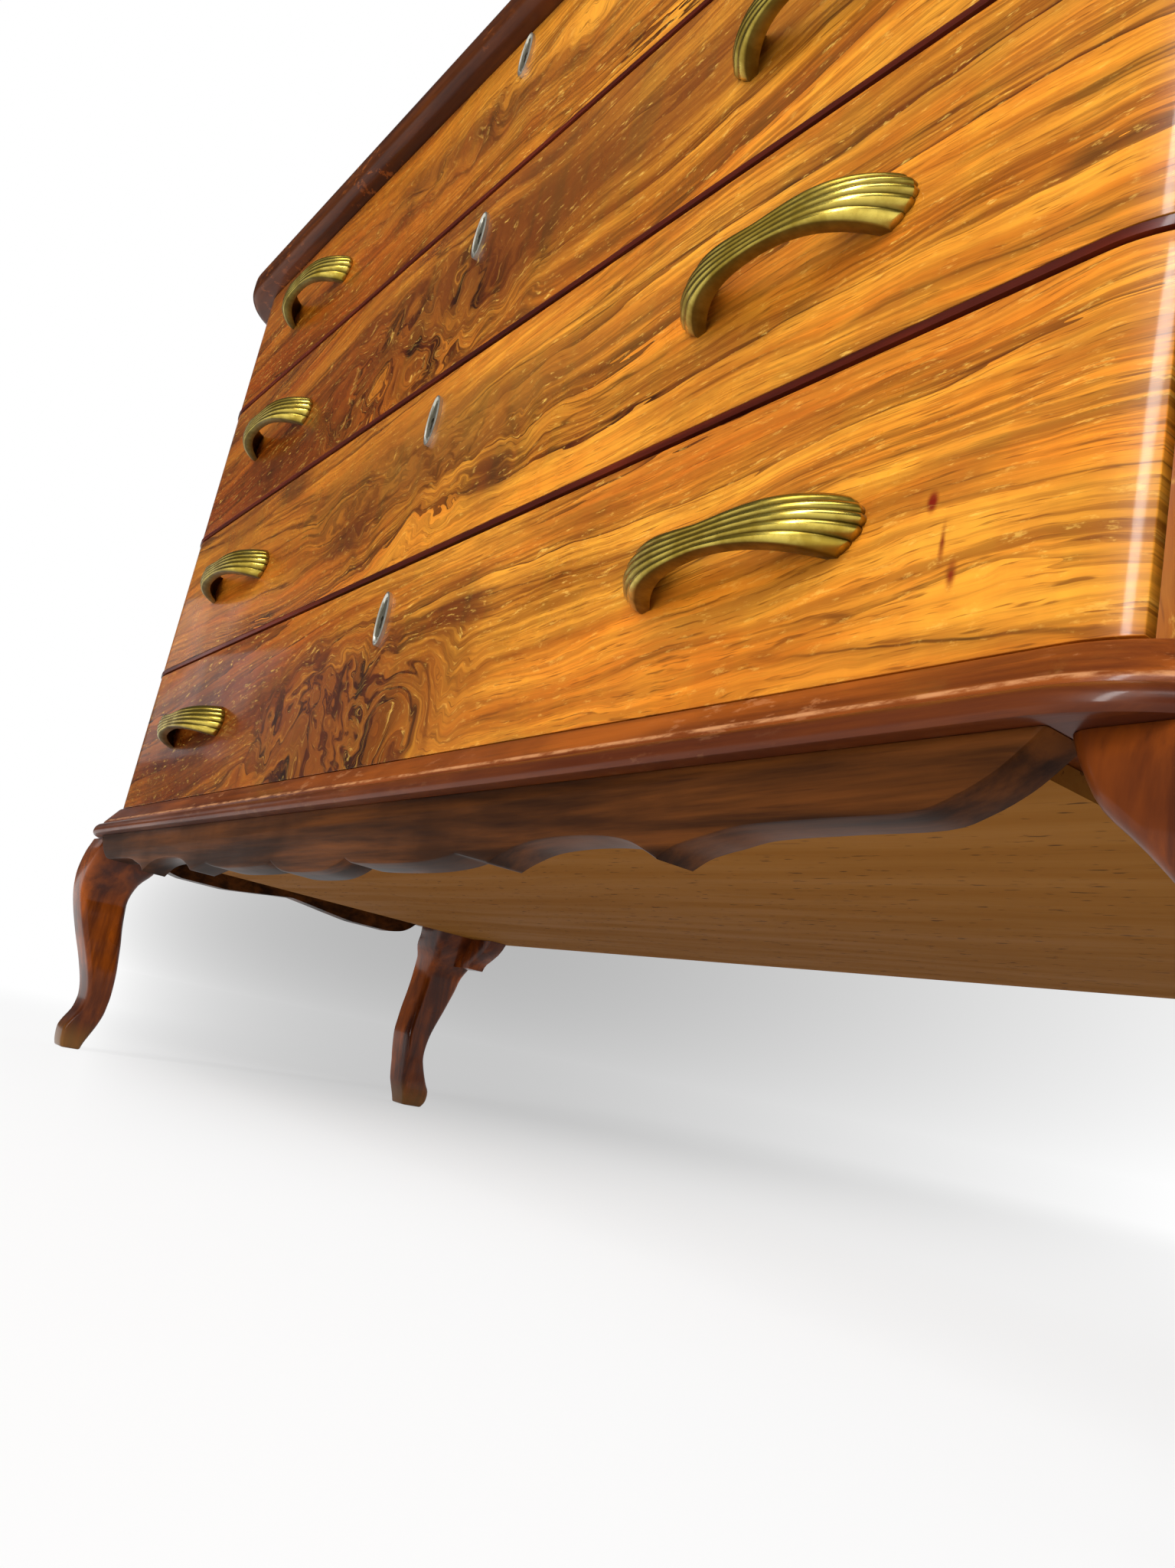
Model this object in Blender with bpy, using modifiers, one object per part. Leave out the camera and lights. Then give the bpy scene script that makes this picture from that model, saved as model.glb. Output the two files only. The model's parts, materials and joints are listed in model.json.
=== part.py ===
"""Chest of four drawers on cabriole legs, in metres, front towards -Y."""
import math

import bmesh
import bpy
from mathutils import Vector

# Case
case_width = 1.224
case_depth = 0.475
corner_radius = 0.075
side_thickness = 0.020
corner_post_width = 0.0455
corner_post_depth = 0.048
back_thickness = 0.012
opening_heights = (0.1526, 0.1608, 0.1578, 0.1532)
fit_gap = 0.0003
overrun = 0.004

# Top board
top_thickness = 0.032
top_overhang = 0.020
top_edge_round = 0.011

# Rails with their beads
rail_height = 0.018
rail_depth = 0.048
bead_height = 0.004
bead_reach = 0.001
bead_round = 0.0015

# Runners
runner_shelf_height = 0.006
runner_shelf_reach = 0.0205
runner_guide_height = 0.040
runner_back_clearance = 0.0071

# Base moulding and the bottom board under it
moulding_height = 0.0315
moulding_reach = 0.0222
moulding_inset = 0.045
moulding_back_depth = 0.022
bottom_side_inset = 0.082
bottom_thickness = 0.008
bottom_front_inset = 0.0105
bottom_back_inset = 0.005

# Aprons
apron_thickness = 0.022
apron_reach = 0.013
apron_edge_round = 0.008
apron_front_end = 0.067
apron_front_drop = 0.0432
apron_side_front_end = 0.0606
apron_side_back_end = 0.0756
apron_side_drop = 0.0177

# Cabriole legs
leg_height = 0.2187
leg_reach = 0.085
leg_width = 0.052
leg_corner_share = 0.15
back_leg_inset = 0.015
bracket_reach = 0.0485
bracket_root = 0.017
bracket_drop = 0.0357
bracket_thickness = 0.022
bracket_back_inset = 0.010

# Drawer fronts
front_thickness = 0.022
front_end_clearance = 0.0028
groove = 0.0015
front_edge_round = 0.0007

# Drawer boxes
box_side_thickness = 0.012
box_side_clearance = 0.0011
box_back_clearance = 0.023
box_side_height = 0.118
box_back_height = 0.100
box_bottom_thickness = 0.006
box_bottom_lift = 0.008

# Bow pulls
pull_inset = 0.2431
pull_half_length = 0.0758
pull_corner_half_length = 0.0632
pull_reach = 0.0273
pull_rim_thickness = 0.0026
pull_grip_height = 0.0135
pull_fan_height = 0.0279
pull_hollow = 0.0195
pull_reed_depth = 0.0009
pull_crown = 0.0004
pull_lifts = (0.0722, 0.0743, 0.0707, 0.0706)

# Key plates, keyholes and locks
plate_half_height = 0.0205
plate_half_width = 0.0074
plate_thickness = 0.0026
plate_rim = 0.0017
plate_slope = 0.0006
plate_recess = 0.0012
facing_share = 0.5
plate_drops = (0.0253, 0.0392, 0.0379, 0.0376)
keyhole_radius = 0.0021
keyhole_slot_width = 0.0018
keyhole_slot_length = 0.0072
lock_width = 0.062
lock_height = 0.046
lock_thickness = 0.011

# Shares of apron half length and of drop, from the middle outwards
front_edge_shares = (
    (0.0, 1.0), (0.055, 0.98), (0.09, 0.90), (0.113, 0.80),
    (0.132, 0.86), (0.17, 0.885), (0.232, 0.895), (0.29, 0.885),
    (0.337, 0.84), (0.365, 0.785), (0.398, 0.85), (0.429, 0.91),
    (0.447, 0.82), (0.478, 0.71), (0.511, 0.66), (0.557, 0.64),
    (0.602, 0.66), (0.635, 0.72), (0.66, 0.83), (0.675, 0.91),
    (0.693, 0.80), (0.712, 0.74), (0.73, 0.70), (0.766, 0.625),
    (0.839, 0.605), (0.912, 0.595), (0.943, 0.49), (0.969, 0.325),
    (0.987, 0.15))
side_edge_shares = (
    (0.0, 0.45), (0.10, 0.56), (0.199, 0.678), (0.28, 0.78),
    (0.355, 0.864), (0.42, 0.94), (0.485, 1.0), (0.63, 1.0),
    (0.786, 1.0), (0.845, 0.90), (0.898, 0.757), (0.945, 0.50),
    (0.98, 0.20))
# Share of bracket reach inwards, then of its drop
bracket_shares = (
    (1.0, 0.0), (0.88, 0.20), (0.75, 0.384), (0.52, 0.58),
    (0.295, 0.751), (0.21, 0.87), (0.159, 1.0))
# Share of leg height, then reach past the corner centre and leg width, sideways and in depth
leg_station_shares = (
    (0.0, 1.035, 0.596, 0.655, 0.385), (0.035, 1.053, 0.625, 0.678, 0.467),
    (0.089, 1.082, 0.683, 0.681, 0.571), (0.127, 1.106, 0.74, 0.642, 0.571),
    (0.18, 1.106, 0.808, 0.57, 0.504), (0.228, 1.1, 0.837, 0.545, 0.477),
    (0.266, 1.094, 0.846, 0.545, 0.485), (0.319, 1.1, 0.856, 0.569, 0.523),
    (0.389, 1.112, 0.865, 0.627, 0.604), (0.458, 1.124, 0.856, 0.693, 0.683),
    (0.528, 1.135, 0.856, 0.768, 0.771), (0.598, 1.141, 0.846, 0.838, 0.837),
    (0.67, 1.141, 0.837, 0.904, 0.91), (0.745, 1.135, 0.837, 0.957, 0.981),
    (0.823, 1.082, 1.029, 0.995, 1.092), (0.884, 1.0, 1.183, 1.005, 1.26),
    (0.94, 0.929, 1.221, 0.995, 1.283), (0.972, 0.9, 1.25, 0.975, 1.279),
    (1.0, 0.885, 1.283, 0.955, 1.275))
# Share of moulding reach and of its height, from the inside round the nose
moulding_shares = (
    (0.07, 0.0), (0.19, 0.057), (0.64, 0.52), (0.66, 0.60),
    (0.83, 0.66), (0.95, 0.75), (1.0, 0.86), (0.97, 0.95),
    (0.88, 1.0))

base_top = leg_height + fit_gap + moulding_height
half_width = case_width / 2
corner_centre = half_width - corner_radius
post_face = half_width - corner_post_width
front_half_length = post_face - front_end_clearance
box_length = case_depth - back_thickness - front_thickness - box_back_clearance
pull_offset = half_width - pull_inset
front_plane = (pull_reach + fit_gap - case_depth) / 2
case_top = base_top + sum(opening_heights)

oak = (0.30, 0.17, 0.075, 1.0)
walnut = (0.50, 0.215, 0.055, 1.0)
mahogany = (0.085, 0.022, 0.012, 1.0)
dark_brown = (0.14, 0.048, 0.022, 1.0)
pine = (0.42, 0.28, 0.135, 1.0)
brass = (0.55, 0.42, 0.13, 1.0)
nickel = (0.62, 0.60, 0.52, 1.0)
steel = (0.32, 0.31, 0.29, 1.0)

for old in list(bpy.data.objects):
    bpy.data.objects.remove(old)

chest = bpy.data.collections.new("chest_of_drawers")
cutters = bpy.data.collections.new("cutters")
bpy.context.scene.collection.children.link(chest)
bpy.context.scene.collection.children.link(cutters)


def paint(obj, colour, roughness, metallic):
    material = bpy.data.materials.new(obj.name + "_material")
    material.use_nodes = True
    shader = material.node_tree.nodes["Principled BSDF"]
    shader.inputs["Base Color"].default_value = colour
    shader.inputs["Roughness"].default_value = roughness
    shader.inputs["Metallic"].default_value = metallic
    material.diffuse_color = colour
    obj.data.materials.clear()
    obj.data.materials.append(material)


def place(obj, position, parent=None):
    """Put a piece at a world position, under its drawer front if it has one."""
    obj.location = Vector(position)
    if parent is not None:
        obj.parent = parent
        obj.location = Vector(position) - parent.location


def add_mesh(name, vertices, faces, collection=chest):
    mesh = bpy.data.meshes.new(name)
    mesh.from_pydata(vertices, [], faces)
    shape = bmesh.new()
    shape.from_mesh(mesh)
    bmesh.ops.recalc_face_normals(shape, faces=shape.faces)
    shape.to_mesh(mesh)
    shape.free()
    obj = bpy.data.objects.new(name, mesh)
    collection.objects.link(obj)
    return obj


def board(name, size, position, parent=None):
    """A plain board, given by its size and its middle."""
    mesh = bpy.data.meshes.new(name)
    shape = bmesh.new()
    bmesh.ops.create_cube(shape, size=1.0)
    bmesh.ops.scale(shape, vec=Vector(size), verts=shape.verts)
    shape.to_mesh(mesh)
    shape.free()
    obj = bpy.data.objects.new(name, mesh)
    chest.objects.link(obj)
    place(obj, position, parent)
    return obj


def made_mesh(curve_object, collection):
    """Turn a curve piece into a welded mesh piece of the same name."""
    bpy.context.view_layer.update()
    graph = bpy.context.evaluated_depsgraph_get()
    mesh = bpy.data.meshes.new_from_object(curve_object.evaluated_get(graph))
    shape = bmesh.new()
    shape.from_mesh(mesh)
    bmesh.ops.remove_doubles(shape, verts=shape.verts, dist=fit_gap / 10)
    bmesh.ops.recalc_face_normals(shape, faces=shape.faces)
    shape.to_mesh(mesh)
    shape.free()
    name = curve_object.name
    matrix = curve_object.matrix_world.copy()
    data = curve_object.data
    bpy.data.objects.remove(curve_object)
    bpy.data.curves.remove(data)
    obj = bpy.data.objects.new(name, mesh)
    obj.matrix_world = matrix
    collection.objects.link(obj)
    return obj


def curve_outline(name, points, cyclic=True):
    curve = bpy.data.curves.new(name, "CURVE")
    curve.dimensions = "2D"
    spline = curve.splines.new("POLY")
    spline.points.add(len(points) - 1)
    for point, (across, up) in zip(spline.points, points):
        point.co = (across, up, 0.0, 1.0)
    spline.use_cyclic_u = cyclic
    return curve


def slab(name, points, thickness, position, turn=(0.0, 0.0, 0.0), collection=chest):
    """A flat outline with a thickness, centred on the given position."""
    curve = curve_outline(name, points)
    curve.fill_mode = "BOTH"
    curve.extrude = thickness / 2
    obj = bpy.data.objects.new(name, curve)
    obj.location = position
    obj.rotation_euler = turn
    collection.objects.link(obj)
    return made_mesh(obj, collection)


def arc(centre, radius, start, end, steps):
    """Points of an arc, angles from the +x direction."""
    points = []
    for step in range(steps + 1):
        angle = start + (end - start) * step / steps
        points.append((centre[0] + radius * math.cos(angle),
                       centre[1] + radius * math.sin(angle)))
    return points


def mirrored(points):
    """The points, then their mirror images in x in reverse order."""
    return points + [(-across, up) for across, up in reversed(points)]


def round_edges(obj, width, segments, wanted):
    """Round the edges whose two ends and direction satisfy the test."""
    mesh = obj.data
    weights = mesh.attributes.new("bevel_weight_edge", "FLOAT", "EDGE")
    for edge in mesh.edges:
        first = mesh.vertices[edge.vertices[0]].co
        second = mesh.vertices[edge.vertices[1]].co
        if wanted(first, second):
            weights.data[edge.index].value = 1.0
    bevel = obj.modifiers.new("rounding", "BEVEL")
    bevel.limit_method = "WEIGHT"
    bevel.width = width
    bevel.segments = segments
    bevel.use_clamp_overlap = True


def shade_round(obj, degrees):
    obj.data.shade_smooth()
    obj.data.set_sharp_from_angle(angle=math.radians(degrees))


def cut(obj, cutter):
    boolean = obj.modifiers.new("keyhole", "BOOLEAN")
    boolean.operation = "DIFFERENCE"
    boolean.solver = "EXACT"
    boolean.object = cutter


def make_top():
    """Thick top with round front corners and a rounded edge on three sides."""
    reach = half_width + top_overhang
    radius = corner_radius
    inner = reach - radius
    points = arc((inner, radius - top_overhang), radius, -math.pi / 2, 0.0, 8)
    points = points + [(reach, case_depth)]
    outline = [(x, front_plane + y) for x, y in mirrored(points)]
    middle = case_top + top_thickness / 2
    obj = slab("top_board", outline, top_thickness, (0.0, 0.0, middle))
    back = front_plane + case_depth - fit_gap

    def on_rim(first, second):
        level = abs(first.z - second.z) < fit_gap
        at_back = first.y > back and second.y > back
        return level and not at_back and edge_is_outline(obj, first, second, outline)

    round_edges(obj, top_edge_round, 4, on_rim)
    shade_round(obj, 40)
    paint(obj, mahogany, 0.35, 0.0)


def edge_is_outline(obj, first, second, outline):
    """True where both ends are neighbours on the outline."""
    ends = []
    for end in (first, second):
        distances = [math.hypot(end.x - x, end.y - y) for x, y in outline]
        ends.append(distances.index(min(distances)))
    step = abs(ends[0] - ends[1])
    return step == 1 or step == len(outline) - 1


def make_sides():
    """Case sides, each thickened into a post behind its round front corner."""
    start = math.asin((post_face - corner_centre) / corner_radius)
    curve = arc((corner_centre, corner_radius), corner_radius,
                start - math.pi / 2, 0.0, 8)
    inner_face = half_width - side_thickness
    points = curve + [
        (half_width, case_depth), (inner_face, case_depth),
        (inner_face, corner_post_depth), (post_face, corner_post_depth)]
    height = case_top - base_top - 2 * fit_gap
    middle = (case_top + base_top) / 2
    for name, side in (("side_left", -1), ("side_right", 1)):
        outline = [(side * x, front_plane + y) for x, y in points]
        obj = slab(name, outline, height, (0.0, 0.0, middle))
        shade_round(obj, 30)
        paint(obj, walnut, 0.3, 0.0)


def make_back():
    width = case_width - 2 * side_thickness - 2 * fit_gap
    height = case_top - base_top - 2 * fit_gap
    position = (0.0, front_plane + case_depth - back_thickness / 2, (case_top + base_top) / 2)
    obj = board("back_panel", (width, back_thickness, height), position)
    paint(obj, pine, 0.75, 0.0)


def make_bottom():
    depth = case_depth - bottom_front_inset - bottom_back_inset
    width = case_width - 2 * bottom_side_inset
    top = base_top - moulding_height - fit_gap
    position = (0.0, front_plane + bottom_front_inset + depth / 2, top - bottom_thickness / 2)
    obj = board("bottom_board", (width, depth, bottom_thickness), position)
    paint(obj, pine, 0.8, 0.0)


def bead_lines():
    """Heights of the bead centre lines, the highest first."""
    lines = []
    height = case_top
    for opening in opening_heights[:-1]:
        height -= opening
        lines.append(height)
    return lines


def make_rails():
    """Rails between the drawers, with the bead that shows between the fronts."""
    half = post_face - fit_gap
    radius = corner_radius + bead_reach
    end = math.asin((half - corner_centre) / radius)
    points = arc((corner_centre, corner_radius), radius, -math.pi / 2, end - math.pi / 2, 4)
    points = points + [(half, front_thickness + overrun)]
    rail_front = front_thickness + fit_gap
    for number, height in enumerate(bead_lines(), start=1):
        position = (0.0, front_plane + rail_front + rail_depth / 2, height)
        rail = board("divider_rail_%d" % number, (2 * half, rail_depth, rail_height), position)
        outline = [(x, front_plane + y) for x, y in mirrored(points)]
        nose = slab("bead_%d" % number, outline, bead_height, (0.0, 0.0, height), collection=cutters)
        nose.hide_render = True
        nose.display_type = "WIRE"
        front_limit = front_plane + front_thickness / 2

        def on_nose(first, second, limit=front_limit):
            level = abs(first.z - second.z) < fit_gap
            near = first.y < limit and second.y < limit
            return level and near and edge_is_outline(nose, first, second, outline)

        round_edges(nose, bead_round, 2, on_nose)
        join = rail.modifiers.new("bead", "BOOLEAN")
        join.operation = "UNION"
        join.solver = "EXACT"
        join.object = nose
        paint(rail, mahogany, 0.35, 0.0)


def drawer_floor(number):
    """Height where the drawer sides run, and the foot of the opening."""
    if number == 4:
        return base_top + runner_shelf_height + 2 * fit_gap
    return bead_lines()[number - 1] + rail_height / 2 + fit_gap


def make_runners():
    """Rebated runners: a shelf under the drawer side and a guide beside it."""
    guide_outer = half_width - side_thickness - fit_gap
    guide_inner = post_face
    shelf_inner = guide_inner - runner_shelf_reach
    start = max(corner_post_depth, front_thickness + rail_depth) + 2 * fit_gap
    runner_length = case_depth - back_thickness - start - runner_back_clearance
    for number in range(1, 5):
        top = drawer_floor(number) - fit_gap
        bottom = top - runner_shelf_height
        points = [
            (guide_outer, bottom), (guide_outer, bottom + runner_guide_height),
            (guide_inner, bottom + runner_guide_height), (guide_inner, top),
            (shelf_inner, top), (shelf_inner, bottom)]
        middle = front_plane + start + runner_length / 2
        for name, side in (("left", -1), ("right", 1)):
            outline = [(side * x, z) for x, z in points]
            obj = slab("runner_%s_%d" % (name, number), outline, runner_length,
                       (0.0, middle, 0.0), (math.pi / 2, 0.0, 0.0))
            paint(obj, oak, 0.7, 0.0)


def make_moulding():
    """Moulded frame under the case: slope, arris and round nose."""
    underside = -moulding_height
    points = [(-moulding_inset, -fit_gap)]
    for across, drop in moulding_shares:
        height = min(-fit_gap, -drop * moulding_height)
        points.append((across * moulding_reach, height))
    points.append((-moulding_inset, underside))
    corner = arc((corner_centre, corner_radius), corner_radius, -math.pi / 2, 0.0, 8)
    half_path = corner + [(half_width, case_depth)]
    half_path = [(x, front_plane + y) for x, y in half_path]
    path = [(-x, y) for x, y in reversed(half_path)] + half_path
    vertices = []
    for index, here in enumerate(path):
        before = Vector(path[max(index - 1, 0)])
        after = Vector(path[min(index + 1, len(path) - 1)])
        at = Vector(here)
        ways = [way.normalized() for way in (at - before, after - at) if way.length > 0]
        outward = Vector((0.0, 0.0))
        for way in ways:
            outward += Vector((way.y, -way.x))
        outward.normalize()
        stretch = 1 / outward.dot(Vector((ways[0].y, -ways[0].x)))
        for across, height in points:
            spot = at + outward * across * stretch
            vertices.append((spot.x, spot.y, base_top + height))
    count = len(points)
    faces = []
    for ring in range(len(path) - 1):
        for index in range(count):
            following = (index + 1) % count
            faces.append((ring * count + index, ring * count + following,
                          (ring + 1) * count + following, (ring + 1) * count + index))
    faces.append(tuple(range(count)))
    faces.append(tuple((len(path) - 1) * count + index for index in range(count)))
    obj = add_mesh("base_moulding", vertices, faces)
    bar_height = moulding_height - 2 * fit_gap
    length = 2 * (half_width - moulding_inset + overrun)
    centre = (0.0, front_plane + case_depth - moulding_back_depth / 2, base_top - moulding_height / 2)
    bar = board("back_bar", (length, moulding_back_depth, bar_height), centre)
    chest.objects.unlink(bar)
    cutters.objects.link(bar)
    bar.hide_render = True
    bar.display_type = "WIRE"
    join = obj.modifiers.new("back_bar", "BOOLEAN")
    join.operation = "UNION"
    join.solver = "EXACT"
    join.object = bar
    shade_round(obj, 35)
    paint(obj, mahogany, 0.35, 0.0)


def make_aprons():
    """Scalloped aprons under the moulding, with a rolled upper front edge."""
    top = base_top - moulding_height - fit_gap
    turn_front = (math.pi / 2, 0.0, 0.0)
    turn_side = (math.pi / 2, 0.0, math.pi / 2)
    half = half_width - apron_front_end
    lower = [(x * half, -drop * apron_front_drop) for x, drop in front_edge_shares]
    outline = [(-half, 0.0)] + [(-x, z) for x, z in reversed(lower[1:])] + lower + [(half, 0.0)]
    middle = front_plane - apron_reach + apron_thickness / 2
    front = slab("apron_front", outline, apron_thickness, (0.0, middle, top), turn_front)
    half = (case_depth - apron_side_front_end - apron_side_back_end) / 2
    lower = [(x * half, -drop * apron_side_drop) for x, drop in side_edge_shares]
    outline = [(-half, 0.0)] + [(-x, z) for x, z in reversed(lower[1:])] + lower + [(half, 0.0)]
    out = half_width + apron_reach - apron_thickness / 2
    along = front_plane + apron_side_front_end + half
    left = slab("apron_left", outline, apron_thickness, (-out, along, top), turn_side)
    right = slab("apron_right", outline, apron_thickness, (out, along, top), turn_side)
    for obj, face in ((front, 1), (left, -1), (right, 1)):

        def on_top_edge(first, second, way=face):
            high = min(first.y, second.y) > -fit_gap
            outside = min(way * first.z, way * second.z) > 0
            return high and outside

        round_edges(obj, apron_edge_round, 3, on_top_edge)
        shade_round(obj, 30)
        paint(obj, dark_brown, 0.3, 0.0)


def make_legs():
    """Cabriole legs: knee, slender ankle and pad, with ears at the top."""
    depth_centre = case_depth - corner_radius
    places = (("leg_front_left", -1, -1, corner_radius), ("leg_front_right", 1, -1, corner_radius),
              ("leg_back_left", -1, 1, depth_centre), ("leg_back_right", 1, 1, depth_centre))
    steps = 3
    for name, side, way, centre in places:
        inset = 0.0 if way < 0 else back_leg_inset
        vertices = []
        for height, reach_x, width_x, reach_y, width_y in leg_station_shares:
            middle_x = reach_x * leg_reach - width_x * leg_width / 2
            middle_y = reach_y * leg_reach - width_y * leg_width / 2
            for quarter in range(4):
                turn = quarter * math.pi / 2
                way_x = 1 if quarter in (0, 3) else -1
                way_y = 1 if quarter in (0, 1) else -1
                for x, y in arc((0.0, 0.0), leg_corner_share, turn, turn + math.pi / 2, steps):
                    across = middle_x - inset + (way_x * (0.5 - leg_corner_share) + x) * width_x * leg_width
                    deep = middle_y - inset + (way_y * (0.5 - leg_corner_share) + y) * width_y * leg_width
                    vertices.append((side * (corner_centre + across), front_plane + centre + way * deep,
                                     height * leg_height))
        count = 4 * (steps + 1)
        rings = len(leg_station_shares)
        faces = []
        for ring in range(rings - 1):
            for index in range(count):
                following = (index + 1) % count
                faces.append((ring * count + index, ring * count + following,
                              (ring + 1) * count + following, (ring + 1) * count + index))
        faces.append(tuple(range(count)))
        faces.append(tuple((rings - 1) * count + index for index in range(count)))
        obj = add_mesh(name, vertices, faces)
        if way > 0:
            join = obj.modifiers.new("bracket", "BOOLEAN")
            join.operation = "UNION"
            join.solver = "EXACT"
            join.object = back_bracket(name + "_bracket", side)
        shade_round(obj, 50)
        paint(obj, dark_brown, 0.3, 0.0)


def back_bracket(name, side):
    """Curved bracket that joins a back leg under the bottom board."""
    root = corner_centre + leg_reach - leg_width + bracket_root
    board_end = half_width - bottom_side_inset + fit_gap
    under = leg_height - bottom_thickness - fit_gap
    points = [(root, leg_height), (board_end, leg_height), (board_end, under)]
    for inwards, down in bracket_shares:
        points.append((corner_centre - inwards * bracket_reach, under - down * bracket_drop))
    points.append((root, under - bracket_drop))
    outline = [(side * x, z) for x, z in points]
    middle = front_plane + case_depth - bracket_back_inset - bracket_thickness / 2
    obj = slab(name, outline, bracket_thickness, (0.0, middle, 0.0), (math.pi / 2, 0.0, 0.0), cutters)
    obj.hide_render = True
    obj.display_type = "WIRE"
    return obj


def keyhole_cutter(name, position, depth):
    """Round hole with a slot below it."""
    half_slot = keyhole_slot_width / 2
    swing = math.asin(half_slot / keyhole_radius)
    points = arc((0.0, 0.0), keyhole_radius, swing - math.pi / 2,
                 3 * math.pi / 2 - swing, 12)
    points = points + [(-half_slot, -keyhole_slot_length), (half_slot, -keyhole_slot_length)]
    obj = slab(name, points, depth, position, (math.pi / 2, 0.0, 0.0), cutters)
    obj.hide_render = True
    obj.display_type = "WIRE"
    return obj


def make_key_plate(name, position, parent, cutter):
    """Pointed oval plate with a raised rim round a sunk field."""
    bulge = (plate_half_height ** 2 - plate_half_width ** 2) / (2 * plate_half_width)
    radius = plate_half_width + bulge
    swing = math.asin(plate_half_height / radius)
    right = arc((-bulge, 0.0), radius, -swing, swing, 12)
    left = arc((bulge, 0.0), radius, math.pi - swing, math.pi + swing, 12)
    obj = slab(name, right[:-1] + left[:-1], plate_thickness, (0.0, 0.0, 0.0),
               (math.pi / 2, 0.0, 0.0))
    shape = bmesh.new()
    shape.from_mesh(obj.data)
    shown = [face for face in shape.faces if face.normal.z > facing_share]
    bmesh.ops.dissolve_faces(shape, faces=shown)
    shown = [face for face in shape.faces if face.normal.z > facing_share]
    bmesh.ops.inset_region(shape, faces=shown, thickness=plate_rim)
    shown = [face for face in shape.faces if face.normal.z > facing_share and len(face.verts) > 4]
    bmesh.ops.inset_region(shape, faces=shown, thickness=plate_slope, depth=-plate_recess)
    shape.to_mesh(obj.data)
    shape.free()
    place(obj, position, parent)
    cut(obj, cutter)
    paint(obj, nickel, 0.25, 1.0)


def make_pull(name, position, parent):
    """Bow pull: reeded grip that spreads into a fan at each end."""
    reeds = 5
    across = [-1 + 2 * step / (2 * reeds) for step in range(2 * reeds + 1)]
    stations = 18
    front_rows = []
    back_rows = []
    spread = 1.4
    for step in range(stations + 1):
        share = math.sin(math.pi / 2 * (2 * step / stations - 1))
        bow = abs(share)
        grip = pull_grip_height / 2
        half = grip + (pull_fan_height / 2 - grip) * bow ** spread
        height = pull_rim_thickness + (pull_reach - pull_rim_thickness) * (1 - bow ** 3.4) ** 0.9
        foot = bow / 0.9
        hollow = pull_hollow * max(0.0, 1 - foot ** 3)
        front_row = []
        back_row = []
        for index, place_across in enumerate(across):
            tip = pull_half_length - (pull_half_length - pull_corner_half_length) * place_across ** 2
            valley = index % 2 == 0
            reed = 0.0 if valley else pull_reed_depth * (1 + 0.8 * bow ** 4)
            notch = 1 - 0.022 * bow ** 8 if valley and abs(place_across) < 1 else 1.0
            x = share * tip * notch
            crown = pull_crown * place_across ** 2 * (1 - bow ** 6)
            z = place_across * half
            outward = max(height - crown - pull_reed_depth + reed, pull_rim_thickness / 2)
            front_row.append((x, -outward, z))
            back_row.append((x, -min(hollow, outward - pull_rim_thickness / 2), z))
        front_rows.append(front_row)
        back_rows.append(back_row)
    vertices = []
    for front_row, back_row in zip(front_rows, back_rows):
        vertices.extend(front_row)
        vertices.extend(reversed(back_row))
    half_count = len(across)
    count = 2 * half_count
    faces = []
    for ring in range(stations):
        for index in range(count):
            following = (index + 1) % count
            faces.append((ring * count + index, ring * count + following,
                          (ring + 1) * count + following, (ring + 1) * count + index))
    for ring in (0, stations):
        for index in range(half_count - 1):
            faces.append((ring * count + index, ring * count + index + 1,
                          ring * count + count - 2 - index, ring * count + count - 1 - index))
    obj = add_mesh(name, vertices, faces)
    place(obj, position, parent)
    shade_round(obj, 60)
    paint(obj, brass, 0.35, 1.0)


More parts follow.
